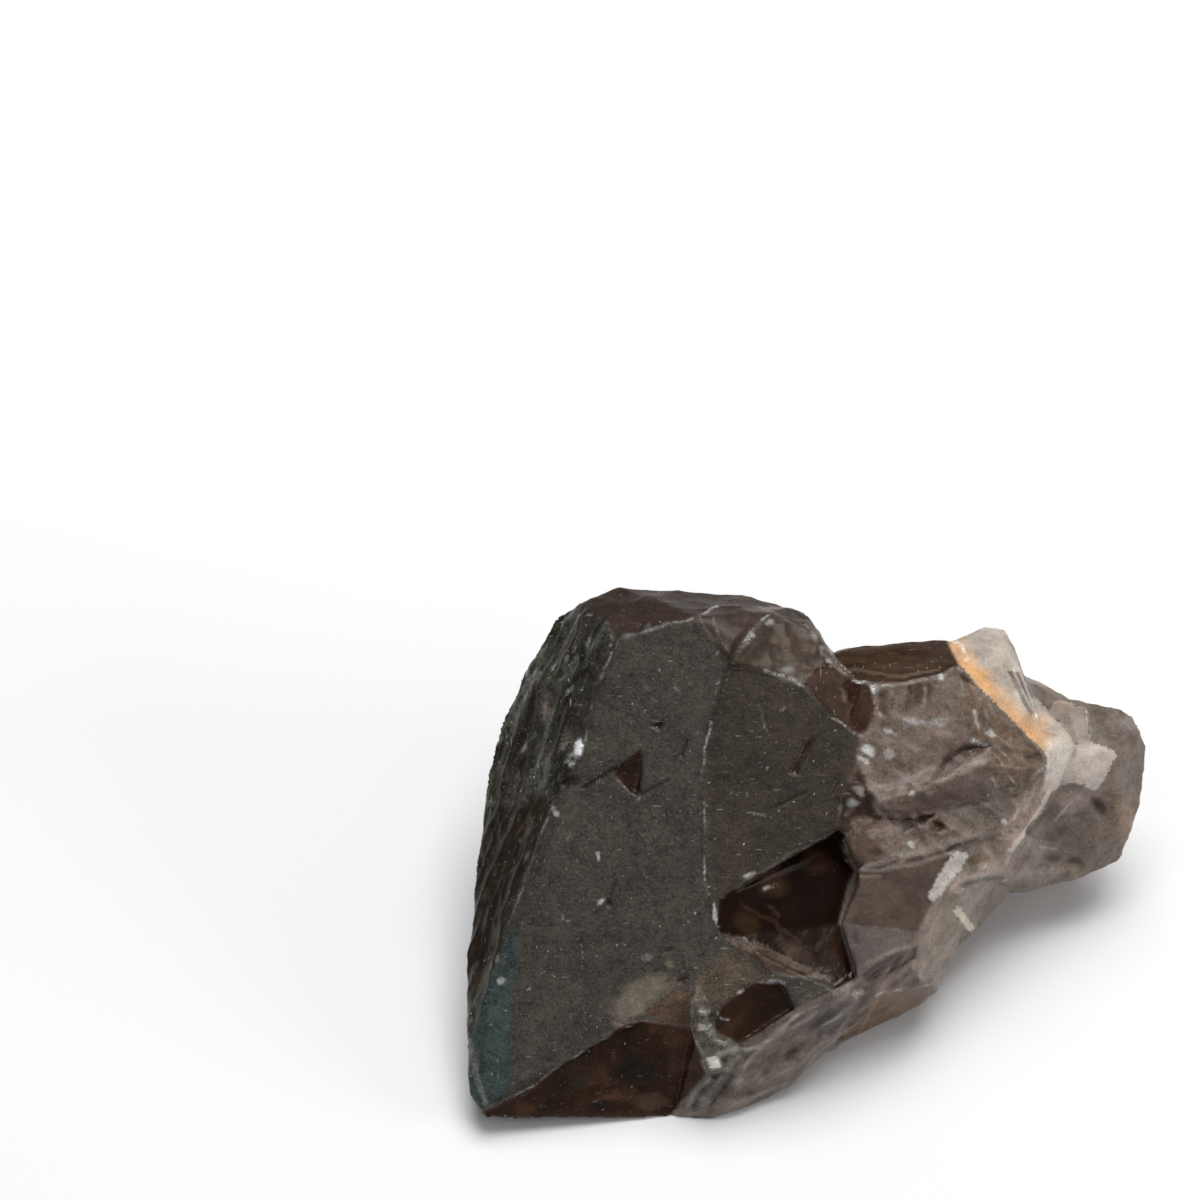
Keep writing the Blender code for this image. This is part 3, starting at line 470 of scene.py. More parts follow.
# Places, width, colour, strength and wander.
LINES = [
    ([(72.4, 67.0), (71.2, 72.4)], 0.28, (0.030, 0.022, 0.018), 0.6, 0.1),
    ([(58.4, 78.8), (61.4, 76.9)], 0.30, (0.016, 0.010, 0.007), 0.9, 0.0),
    ([(64.1, 79.5), (66.8, 78.0)], 0.20, (0.020, 0.013, 0.010), 0.8, 0.0),
    ([(77.4, 80.8), (80.6, 79.2)], 0.20, (0.020, 0.013, 0.010), 0.8, 0.0),
    ([(60.7, 90.3), (61.6, 88.0)], 0.22, (0.016, 0.010, 0.008), 0.9, 0.0),
    ([(60.2, 87.9), (61.4, 87.6)], 0.18, (0.030, 0.022, 0.016), 0.7, 0.1),
    # Lighter brown streaks in the window: inner veils, partly painted reflection.
    ([(74.4, 90.3), (77.6, 92.1), (79.8, 94.2)], 0.28, (0.100, 0.050, 0.028), 0.6, 0.4),
    ([(79.8, 94.2), (81.8, 96.6)], 0.5, (0.085, 0.045, 0.027), 0.5, 0.3),
    ([(77.0, 90.4), (77.8, 91.6)], 0.22, (0.110, 0.070, 0.034), 0.5, 0.3),
    ([(88.3, 69.2), (88.4, 71.2)], 0.55, (0.14, 0.090, 0.065), 0.8, 0.2),
    ([(89.3, 69.6), (89.2, 70.8)], 0.30, (0.15, 0.100, 0.070), 0.8, 0.2),
    ([(91.0, 68.8), (90.8, 71.0)], 0.45, (0.14, 0.090, 0.060), 0.9, 0.2),
    ([(91.9, 68.6), (91.8, 70.0)], 0.60, (0.12, 0.075, 0.050), 0.9, 0.2),
    ([(93.0, 68.6), (92.9, 70.0)], 0.40, (0.14, 0.090, 0.060), 0.8, 0.2),
    ([(92.5, 68.8), (92.5, 70.6)], 0.18, (0.46, 0.42, 0.38), 0.8, 0.1),
    ([(96.0, 67.6), (96.4, 69.6)], 0.25, (0.46, 0.42, 0.38), 0.5, 0.2),
    ([(105.6, 82.0), (107.2, 80.2)], 0.16, (0.62, 0.55, 0.50), 0.8, 0.1),
    ([(104.0, 84.6), (105.6, 84.9)], 0.18, (0.62, 0.55, 0.50), 0.7, 0.1),
    ([(108.6, 71.0), (108.9, 73.0)], 0.20, (0.75, 0.66, 0.54), 0.9, 0.1),
    ([(112.4, 72.6), (113.2, 73.8)], 0.16, (0.22, 0.18, 0.16), 0.8, 0.1),
    ([(101.3, 67.0), (102.4, 69.4), (103.7, 71.7)], 0.16, (0.80, 0.72, 0.66), 0.9, 0.0),
    ([(84.6, 81.4), (85.2, 80.9)], 0.25, (0.30, 0.22, 0.18), 0.6, 0.2),
    ([(94.0, 76.6), (96.4, 74.9), (98.4, 74.6)], 0.16, (0.10, 0.07, 0.055), 0.8, 0.1),
    ([(97.4, 73.9), (98.6, 74.5)], 0.16, (0.95, 0.93, 0.90), 0.9, 0.1),
    ([(97.5, 71.0), (97.8, 72.0)], 0.22, (0.62, 0.62, 0.58), 0.8, 0.2),
    ([(99.0, 73.0), (99.5, 73.6)], 0.20, (0.95, 0.93, 0.90), 0.8, 0.1),
    ([(98.6, 74.6), (101.4, 78.0)], 0.16, (0.44, 0.35, 0.29), 0.7, 0.2),
    ([(99.2, 77.8), (99.8, 78.6)], 0.20, (0.80, 0.76, 0.72), 0.7, 0.2),
    ([(101.2, 77.8), (101.6, 78.4)], 0.16, (0.80, 0.76, 0.72), 0.7, 0.1),
    ([(103.4, 77.4), (104.2, 76.9)], 0.18, (0.62, 0.55, 0.48), 0.8, 0.1),
    ([(102.4, 80.0), (102.7, 79.0)], 0.16, (0.70, 0.64, 0.58), 0.7, 0.1),
    ([(84.4, 65.8), (88.5, 66.8), (94.5, 66.2)], 0.5, (0.048, 0.029, 0.016), 0.6, 0.3),
    ([(85.0, 67.0), (90.0, 67.6), (94.0, 66.9)], 0.25, (0.115, 0.085, 0.062), 0.6, 0.2),
    ([(96.0, 88.1), (99.0, 87.4), (103.0, 87.3), (106.4, 87.0)], 0.45, (0.56, 0.46, 0.40), 0.7, 0.2),
    ([(69.9, 98.6), (69.2, 100.6), (69.3, 103.0), (70.2, 105.2), (70.7, 106.4)], 0.25, (0.38, 0.36, 0.31), 0.7, 0.15),
    ([(70.4, 99.6), (71.0, 101.2), (70.4, 102.2), (71.2, 103.6), (72.6, 104.6)], 0.22, (0.32, 0.31, 0.27), 0.7, 0.15),
    ([(71.8, 105.4), (73.4, 104.9), (74.8, 104.9), (76.0, 104.6)], 0.28, (0.56, 0.51, 0.45), 0.8, 0.15),
    ([(74.5, 106.5), (76.2, 104.6), (78.0, 102.8), (79.6, 101.6)], 0.25, (0.50, 0.43, 0.38), 0.7, 0.15),
    ([(68.6, 111.6), (72.0, 110.6), (75.6, 109.7), (78.6, 108.4)], 0.22, (0.50, 0.43, 0.38), 0.6, 0.15),
    ([(88.3, 81.0), (93.0, 81.0), (97.5, 79.7)], 0.30, (0.16, 0.11, 0.08), 0.6, 0.2),
    ([(91.4, 81.6), (92.2, 83.0)], 0.22, (0.55, 0.46, 0.40), 0.8, 0.0),
    ([(92.0, 81.4), (93.2, 83.1)], 0.20, (0.14, 0.10, 0.07), 0.8, 0.0),
    ([(94.5, 76.2), (96.0, 74.8), (97.6, 74.4), (98.6, 74.7)], 0.22, (0.14, 0.10, 0.08), 0.8, 0.1),
    ([(93.8, 78.2), (96.2, 76.6), (98.2, 76.1)], 0.30, (0.52, 0.44, 0.38), 0.7, 0.2),
    ([(97.6, 71.0), (97.9, 72.6)], 0.22, WHITE_CRUMB, 0.6, 0.2),
    ([(97.0, 74.1), (98.4, 74.5)], 0.20, WHITE_CRUMB, 0.8, 0.1),
    ([(98.6, 73.2), (99.2, 73.6)], 0.22, WHITE_CRUMB, 0.6, 0.1),
    ([(99.0, 74.2), (101.0, 76.0)], 0.22, (0.44, 0.35, 0.29), 0.6, 0.2),
    ([(100.0, 73.8), (102.4, 76.2)], 0.20, (0.42, 0.33, 0.27), 0.6, 0.2),
    ([(85.0, 86.0), (86.0, 87.0), (88.0, 87.1), (90.4, 86.1)], 0.22, (0.46, 0.38, 0.33), 0.8, 0.0),
    ([(84.7, 83.4), (84.6, 85.0), (85.2, 86.6)], 0.20, (0.44, 0.36, 0.31), 0.7, 0.0),
    ([(88.0, 87.1), (92.0, 86.3), (95.0, 85.2), (100.0, 83.1)], 0.30, (0.50, 0.42, 0.36), 0.6, 0.1),
    ([(101.1, 84.9), (100.6, 86.6), (99.8, 87.2), (97.4, 87.6)], 0.30, (0.60, 0.50, 0.42), 0.8, 0.05),
    ([(96.4, 88.5), (98.4, 87.9), (100.4, 87.7)], 0.30, (0.16, 0.15, 0.12), 0.7, 0.1),
    ([(85.4, 87.4), (84.9, 88.6), (84.0, 92.3)], 0.25, (0.38, 0.32, 0.28), 0.7, 0.0),
    ([(93.9, 89.9), (92.9, 92.0), (92.2, 95.2)], 0.35, (0.46, 0.38, 0.31), 0.5, 0.1),
    ([(96.8, 87.0), (95.2, 89.0), (94.4, 90.8)], 0.35, (0.50, 0.41, 0.34), 0.6, 0.1),
    ([(72.2, 107.6), (69.9, 110.8)], 0.28, (0.30, 0.27, 0.23), 0.7, 0.0),
    ([(73.2, 107.6), (70.7, 111.0)], 0.22, (0.045, 0.038, 0.030), 0.9, 0.0),
    ([(71.4, 107.6), (69.2, 110.6)], 0.20, (0.045, 0.038, 0.030), 0.8, 0.0),
    ([(68.8, 110.6), (69.4, 109.4), (71.0, 107.8)], 0.30, (0.46, 0.42, 0.36), 0.8, 0.1),
    ([(67.5, 111.5), (71.5, 110.8), (76.0, 109.6)], 0.5, (0.42, 0.36, 0.31), 0.6, 0.2),
    ([(47.0, 104.0), (47.5, 107.0), (48.6, 110.4)], 0.35, (0.30, 0.31, 0.29), 0.7, 0.1),
]

# White bruised edges and crumbs: places, width, strength and wander.
CRUMBLY = [
    ([(71.2, 72.4), (70.4, 75.0), (70.1, 77.6), (70.0, 79.2), (70.6, 80.6), (70.4, 83.6), (70.5, 87.4)], 0.17, 0.62, 0.16),
    ([(70.4, 87.8), (70.9, 89.4)], 0.20, 0.5, 0.15),
    ([(71.4, 90.4), (71.5, 91.8)], 0.26, 1.0, 0.05),
    ([(71.6, 92.0), (72.1, 93.6)], 0.20, 0.9, 0.05),
    ([(74.6, 87.8), (75.4, 87.4)], 0.45, 1.0, 0.1),
    ([(76.4, 88.8), (77.4, 88.4)], 0.35, 0.9, 0.15),
    ([(72.2, 89.8), (77.0, 86.7), (83.4, 83.2)], 0.22, 0.35, 0.05),
    ([(75.8, 98.0), (78.3, 98.3)], 0.35, 0.9, 0.2),
    ([(73.8, 99.4), (74.4, 99.0)], 0.25, 0.8, 0.1),
    ([(72.2, 101.8), (72.8, 101.9)], 0.25, 0.6, 0.1),
    ([(47.6, 111.3), (52.7, 109.0), (56.0, 106.6), (58.6, 104.9), (60.6, 103.9)], 0.16, 0.30, 0.1),
    ([(61.9, 63.8), (60.4, 66.8), (59.3, 70.2), (58.6, 74.2)], 0.20, 0.45, 0.2),
    ([(55.6, 79.4), (54.6, 82.4), (53.2, 86.2), (51.6, 90.6), (50.6, 93.2)], 0.18, 0.35, 0.2),
    ([(55.4, 80.6), (55.8, 81.4)], 0.35, 0.8, 0.2),
    ([(61.9, 63.8), (64.6, 63.1), (67.0, 62.3), (69.0, 61.8)], 0.22, 0.42, 0.3),
    ([(69.9, 61.6), (71.2, 60.9), (71.8, 60.6)], 0.20, 0.5, 0.15),
    ([(71.3, 61.6), (71.8, 63.4), (72.6, 64.8)], 0.22, 0.3, 0.3),
    ([(73.3, 66.4), (74.0, 64.6), (75.4, 62.9), (77.2, 61.2)], 0.20, 0.5, 0.2),
    ([(74.6, 64.0), (75.2, 63.6)], 0.45, 0.8, 0.25),
    ([(79.2, 61.3), (80.8, 62.6), (82.2, 64.8), (83.2, 66.4)], 0.45, 0.6, 0.3),
    ([(76.4, 67.2), (78.4, 67.6), (80.2, 68.5)], 0.30, 0.5, 0.2),
    ([(85.3, 67.9), (87.2, 68.5), (90.5, 68.4), (93.0, 67.9), (94.8, 67.4)], 0.20, 0.5, 0.15),
    ([(83.4, 65.8), (85.2, 67.6)], 0.22, 0.4, 0.15),
    ([(95.0, 63.9), (96.2, 64.6), (96.6, 66.0)], 0.35, 0.5, 0.2),
    ([(82.8, 71.5), (85.6, 73.5)], 0.22, 0.4, 0.15),
    ([(84.0, 80.6), (83.8, 82.6)], 0.30, 0.5, 0.2),
    ([(89.0, 73.2), (89.6, 73.8)], 0.28, 0.7, 0.2),
    ([(98.6, 79.6), (99.4, 79.0)], 0.22, 0.6, 0.2),
    ([(96.0, 81.2), (97.6, 80.8)], 0.22, 0.4, 0.2),
    ([(70.2, 104.9), (74.9, 104.8), (77.2, 103.9), (79.6, 101.6), (81.2, 100.5), (84.1, 99.4), (86.0, 98.0)], 0.30, 0.45, 0.1),
    ([(83.6, 103.9), (84.9, 102.4), (87.0, 100.2), (87.8, 99.4), (93.1, 98.4)], 0.25, 0.45, 0.05),
    ([(85.6, 99.4), (86.2, 99.2)], 0.45, 0.8, 0.2),
    ([(59.7, 85.3), (59.8, 86.0)], 0.22, 0.9, 0.05),
    ([(56.2, 91.2), (56.3, 91.9)], 0.20, 0.8, 0.05),
    ([(58.4, 91.4), (58.7, 92.0)], 0.20, 0.6, 0.05),
    ([(63.9, 79.8), (63.8, 80.0)], 0.25, 0.8, 0.0),
    ([(57.0, 83.4), (56.9, 84.6)], 0.30, 0.35, 0.2),
    ([(64.2, 68.0), (65.0, 69.0)], 0.25, 0.5, 0.2),
    ([(67.4, 68.9), (68.0, 69.4)], 0.20, 0.5, 0.2),
    ([(76.0, 70.4), (76.6, 73.2)], 0.18, 0.35, 0.1),
    ([(78.2, 71.0), (79.0, 70.6)], 0.30, 0.6, 0.2),
    ([(75.6, 78.4), (76.8, 76.6)], 0.18, 0.4, 0.1),
    ([(74.6, 81.2), (76.6, 81.5)], 0.16, 0.35, 0.1),
    ([(53.2, 66.8), (52.4, 69.4)], 0.25, 0.3, 0.3),
    ([(84.9, 94.0), (85.4, 97.0)], 0.20, 0.3, 0.1),
]

# Raised crests and cut grooves: places, width and height.
CRESTS = [
    ([(52.8, 86.4), (51.0, 92.0), (49.2, 97.0), (48.0, 101.0), (47.3, 104.5), (46.9, 109.0)], 1.3, 0.3),
    ([(49.4, 96.4), (48.0, 101.0), (47.3, 104.5), (46.9, 109.0)], 1.3, 0.5),
    ([(74.9, 104.8), (77.2, 103.9), (79.6, 101.6), (81.2, 100.5), (84.1, 99.4), (87.2, 96.8), (90.4, 95.2)], 0.9, 0.35),
    ([(83.6, 103.9), (84.9, 102.4), (87.0, 100.2), (87.8, 99.4), (93.1, 98.4)], 0.8, 0.35),
    ([(71.2, 72.4), (70.1, 77.6), (70.6, 80.6), (70.6, 85.4), (71.4, 90.6), (72.0, 93.4)], 0.35, 0.10),
    ([(88.0, 80.2), (92.0, 79.2), (95.5, 77.2), (98.5, 76.2)], 1.7, 0.9),
    ([(88.0, 82.2), (93.0, 81.0), (97.5, 79.7), (101.0, 78.4)], 0.9, -0.45),
    ([(104.8, 79.4), (102.4, 83.2), (101.1, 84.9)], 0.5, 0.25),
    ([(73.3, 66.4), (74.0, 64.6), (75.4, 62.9), (77.2, 61.2)], 0.6, 0.35),
    ([(79.2, 61.3), (80.8, 62.6), (82.2, 64.8), (83.2, 66.4)], 0.7, 0.25),
    ([(76.6, 64.4), (79.4, 65.4), (81.4, 64.8)], 1.2, -0.35),
    ([(85.3, 67.9), (87.2, 68.5), (90.5, 68.4), (94.8, 67.4)], 0.45, 0.2),
    ([(88.0, 69.6), (88.0, 71.2)], 0.4, -0.25),
    ([(91.2, 69.4), (91.0, 71.8)], 0.45, -0.3),
    ([(92.4, 69.6), (92.4, 71.6)], 0.35, -0.25),
    ([(84.4, 86.2), (86.0, 87.4), (88.0, 87.4)], 0.35, -0.25),
    ([(58.4, 78.8), (61.4, 76.9)], 0.30, -0.22),
    ([(64.1, 79.5), (66.8, 78.0)], 0.22, -0.12),
    ([(77.4, 80.8), (80.6, 79.2)], 0.22, -0.12),
    ([(60.7, 90.3), (61.6, 88.0)], 0.22, -0.12),
    ([(72.4, 67.0), (71.2, 72.4)], 0.30, -0.12),
    ([(103.5, 84.5), (108.0, 81.0), (109.8, 78.6)], 1.2, -0.35),
    ([(100.5, 87.4), (96.0, 88.8)], 0.5, -0.3),
    ([(72.2, 107.6), (69.9, 110.8)], 0.35, 0.25),
    ([(73.2, 107.6), (70.7, 111.0)], 0.3, -0.25),
    ([(91.9, 96.6), (92.2, 98.4)], 0.45, 0.3),
    ([(74.6, 94.1), (77.1, 97.2)], 0.35, 0.12),
]

# Outline, depth below its surroundings and softness of the edge.
SUNKEN = [
    (SMALL_PIT, 0.35, 0.12),
    (SLIT, 0.30, 0.12),
    (BROWN_SLIT, 0.35, 0.2),
    (LENS, 0.30, 0.15),
    (TAIL_LIGHT, -0.25, 0.6),
    (TAIL_BEIGE, -0.20, 0.6),
    (CREAM_FLAKE, -0.30, 0.2),
    (CREAM_BAR, -0.25, 0.15),
    (DARK_CHINK, 0.25, 0.25),
    ([(93.4, 78.0), (94.4, 76.0), (96.0, 74.8), (97.6, 74.3), (98.8, 74.7), (97.4, 75.9), (95.4, 77.2)], 0.8, 0.35),
]

# Centre, radii, turn in degrees and depth.
DENTS = [
    ((110.2, 80.4), (1.6, 1.9), -20.0, 0.55),
    ((106.5, 86.2), (3.2, 1.0), -8.0, 0.40),
    ((86.3, 84.4), (2.6, 2.9), 0.0, -0.45),
    ((111.6, 73.8), (0.9, 0.7), 0.0, 0.35),
    ((104.6, 69.6), (1.6, 1.0), 40.0, 0.25),
    ((87.6, 85.6), (1.3, 0.7), 25.0, 0.25),
    ((93.6, 82.6), (1.1, 0.8), 10.0, 0.35),
    ((97.5, 86.1), (1.2, 0.8), 20.0, 0.25),
    ((76.6, 107.2), (1.4, 0.7), 25.0, 0.30),
    ((78.9, 106.3), (1.0, 0.6), 25.0, -0.25),
    ((79.0, 105.0), (1.3, 0.6), 25.0, 0.25),
    ((71.5, 106.4), (0.9, 0.7), 10.0, -0.35),
    ((57.8, 75.0), (0.8, 1.4), -8.0, -0.15),
    ((57.0, 78.2), (1.3, 0.8), 20.0, 0.40),
    ((68.3, 98.0), (0.8, 0.45), 40.0, 0.25),
    ((66.9, 95.0), (0.7, 0.3), 30.0, 0.20),
    ((61.0, 90.5), (0.5, 0.45), 0.0, 0.15),
    ((52.8, 82.6), (1.2, 1.5), 0.0, 0.35),
    ((90.2, 66.0), (4.2, 1.2), 0.0, 0.35),
    ((96.0, 93.4), (1.6, 1.2), 40.0, 0.35),
]

# Wedges that carry the pale facets to the edge of the window, close the chink behind the block and ease the step
# beside the lower band. Their front corners are across, down and near, in millimetres.
# The number is how near its hidden end lies.
WEDGES = [
    (-3.0, [(86.6, 86.8, 2.45), (84.2, 92.4, 3.1), (87.6, 92.1, 2.1)]),
    (-3.0, [(84.2, 92.4, 3.1), (86.0, 98.1, 1.3), (87.6, 92.1, 2.1)]),
    (-3.0, [(85.6, 80.0, 1.5), (88.5, 79.9, 1.5), (88.3, 82.5, 1.6), (85.7, 83.0, 1.7)]),
    (-12.4, [(100.9, 85.2, -4.9), (104.8, 86.0, -9.6), (103.4, 88.8, -11.2), (101.3, 89.0, -10.0), (99.7, 88.1, -6.4)]),
    (-12.4, [(101.7, 83.4, -4.3), (104.4, 83.9, -7.9), (104.8, 86.0, -9.6), (100.9, 85.2, -4.9)]),
]

BAND_CORNER = seen(104.8, 75.7, -2.0)
BAND_UPPER = 0.72 * RIGHT + 0.67 * UP + 0.18 * NEAR
BAND_LOWER = 0.81 * RIGHT - 0.57 * UP + 0.14 * NEAR
FLANK_EDGE = seen(61.7, 63.9, -2.0) - seen(48.8, 102.0, -1.0)


def copy_of_solid():
    """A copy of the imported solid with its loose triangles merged, ready to be carved."""
    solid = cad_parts["amethyst_point"]
    bpy.ops.object.select_all(action="DESELECT")
    stone = solid.copy()
    stone.data = solid.data.copy()
    stone.name = "carved_point"
    stone.data.name = "carved_point"
    stone.parent = None
    for name in list(stone.keys()):
        del stone[name]
    bpy.context.scene.collection.objects.link(stone)
    stone.select_set(True)
    bpy.context.view_layer.objects.active = stone
    stone.data.materials.clear()
    bpy.ops.object.mode_set(mode="EDIT")
    bpy.ops.mesh.select_all(action="SELECT")
    bpy.ops.mesh.remove_doubles(threshold=0.002 * MM)
    bpy.ops.object.mode_set(mode="OBJECT")
    return stone


def applied(stone, kind, **values):
    modifier = stone.modifiers.new(kind.lower(), kind)
    for name, value in values.items():
        setattr(modifier, name, value)
    bpy.context.view_layer.objects.active = stone
    bpy.ops.object.modifier_apply(modifier=modifier.name)


def moved(stone, points):
    stone.data.vertices.foreach_set("co", (points * MM).ravel())
    stone.data.update()


def filled(stone, hidden_end, corners):
    """Joins a wedge to the solid: its front corners as the viewer sees them, its other end hidden in the stone."""
    bpy.ops.object.select_all(action="DESELECT")
    bpy.ops.mesh.primitive_cylinder_add(vertices=len(corners))
    wedge = bpy.context.object
    for index, (across, down, near) in enumerate(corners):
        wedge.data.vertices[2 * index].co = Vector(seen(across, down, near)) * MM
        wedge.data.vertices[2 * index + 1].co = Vector(seen(across, down, hidden_end)) * MM
    bpy.ops.object.mode_set(mode="EDIT")
    bpy.ops.mesh.select_all(action="SELECT")
    bpy.ops.mesh.normals_make_consistent(inside=False)
    bpy.ops.object.mode_set(mode="OBJECT")
    stone.select_set(True)
    bpy.context.view_layer.objects.active = stone
    bpy.ops.object.join()


def beyond_band(points):
    """Millimetres beyond the inner surface of the V-shaped growth band: below 0 is towards the tip."""
    off = points - BAND_CORNER
    return np.maximum(off @ BAND_UPPER, off @ BAND_LOWER)


def carve_forms(stone):
    """Crests, grooves, steps and dents, moved along the viewer's line so that they stay where they are seen."""
    surface = Surface(stone)
    rise = np.zeros(len(surface.points))
    for places, width, height in CRESTS:
        rise += height * surface.stroke(places, width)
    for outline, depth, soft in SUNKEN:
        rise -= depth * surface.region(outline, soft)
    for centre, radii, turn, depth in DENTS:
        rise -= depth * surface.spot(centre, radii, turn)
    moved(stone, surface.points + np.outer(rise, NEAR))


def carve_grain(stone):
    """Broken, striated and nearly smooth surfaces, moved along the normals."""
    surface = Surface(stone)
    points = surface.points
    smooth = np.zeros(len(points))
    for outline in SMOOTH_FACES:
        smooth = np.maximum(smooth, surface.region(outline, 0.3))
    tip = smooth_step(-25.0, -28.0, points[:, 0]) * (1.0 - surface.towards)
    facing = smooth_step(0.15, 0.7, surface.normals @ NEAR)
    flank = np.maximum(surface.region(LEFT_FLANK, 0.3) * facing, 0.2 * tip)
    broken = (1.0 - smooth) * (1.0 - 0.5 * flank) * (0.5 + 0.5 * surface.towards)
    striated = stretched(points, FLANK_EDGE, 3.5)
    upright = stretched(points, UP, 5.0)
    downward = stretched(points, BAND_LOWER, 2.5)
    slanted = stretched(points, RIGHT + UP, 3.0)

    rise = np.zeros(len(points))
    for mask, places, size, height, seed in (
            (broken, points, 5.5, 1.4, 11), (broken, points, 1.8, 0.35, 23), (flank, striated, 2.2, 1.7, 41),
            (flank, striated, 1.0, 1.0, 47), (surface.region(BLOCK_STREAKS, 0.5), upright, 0.9, 0.5, 53),
            (surface.region(BLOCK_FRONT, 0.5), downward, 1.1, 0.45, 57),
            (surface.region(BLOCK_CRUMBS, 0.4), points, 1.3, 1.3, 59), (surface.region(GLASSY_EDGE, 0.3), points, 1.3, 1.3, 67),
            (surface.region(CHIP, 0.3), points, 2.2, 1.2, 71), (surface.region(CHIP, 0.3), points, 1.1, 0.35, 79),
            (surface.region(LOWER_FLANK, 0.4) * facing, slanted, 1.3, 1.0, 73)):
        chosen = mask > 0.002
        rise[chosen] += height * mask[chosen] * scooped(places[chosen], size, seed)
    rise += 0.012 * (1.0 + broken) * fractal(points, 1.2, 3, 31)
    grounded = smooth_step(0.2, 1.2, points[:, 2])
    points = points + surface.normals * (rise * grounded)[:, None]
    points[:, 2] = np.maximum(points[:, 2], 0.0)
    moved(stone, points)


def thin(stone):
    """Fewer triangles where nobody looks closely: the back and the underside."""
    triangles = 2 * len(stone.data.polygons)
    if triangles <= TRIANGLES_KEPT:
        return
    surface = Surface(stone)
    group = stone.vertex_groups.new(name="thinned")
    hidden = np.nonzero(surface.towards < 0.5)[0]
    group.add([int(i) for i in hidden], 1.0, "REPLACE")
    applied(stone, "DECIMATE", ratio=TRIANGLES_KEPT / triangles, vertex_group="thinned", vertex_group_factor=1.0)
    stone.vertex_groups.clear()
    points = Surface(stone).points
    points[:, 2] = np.maximum(points[:, 2], 0.0)
    moved(stone, points)


def blend(old, new, mask):
    return old + (np.array(new) - old) * mask[:, None]


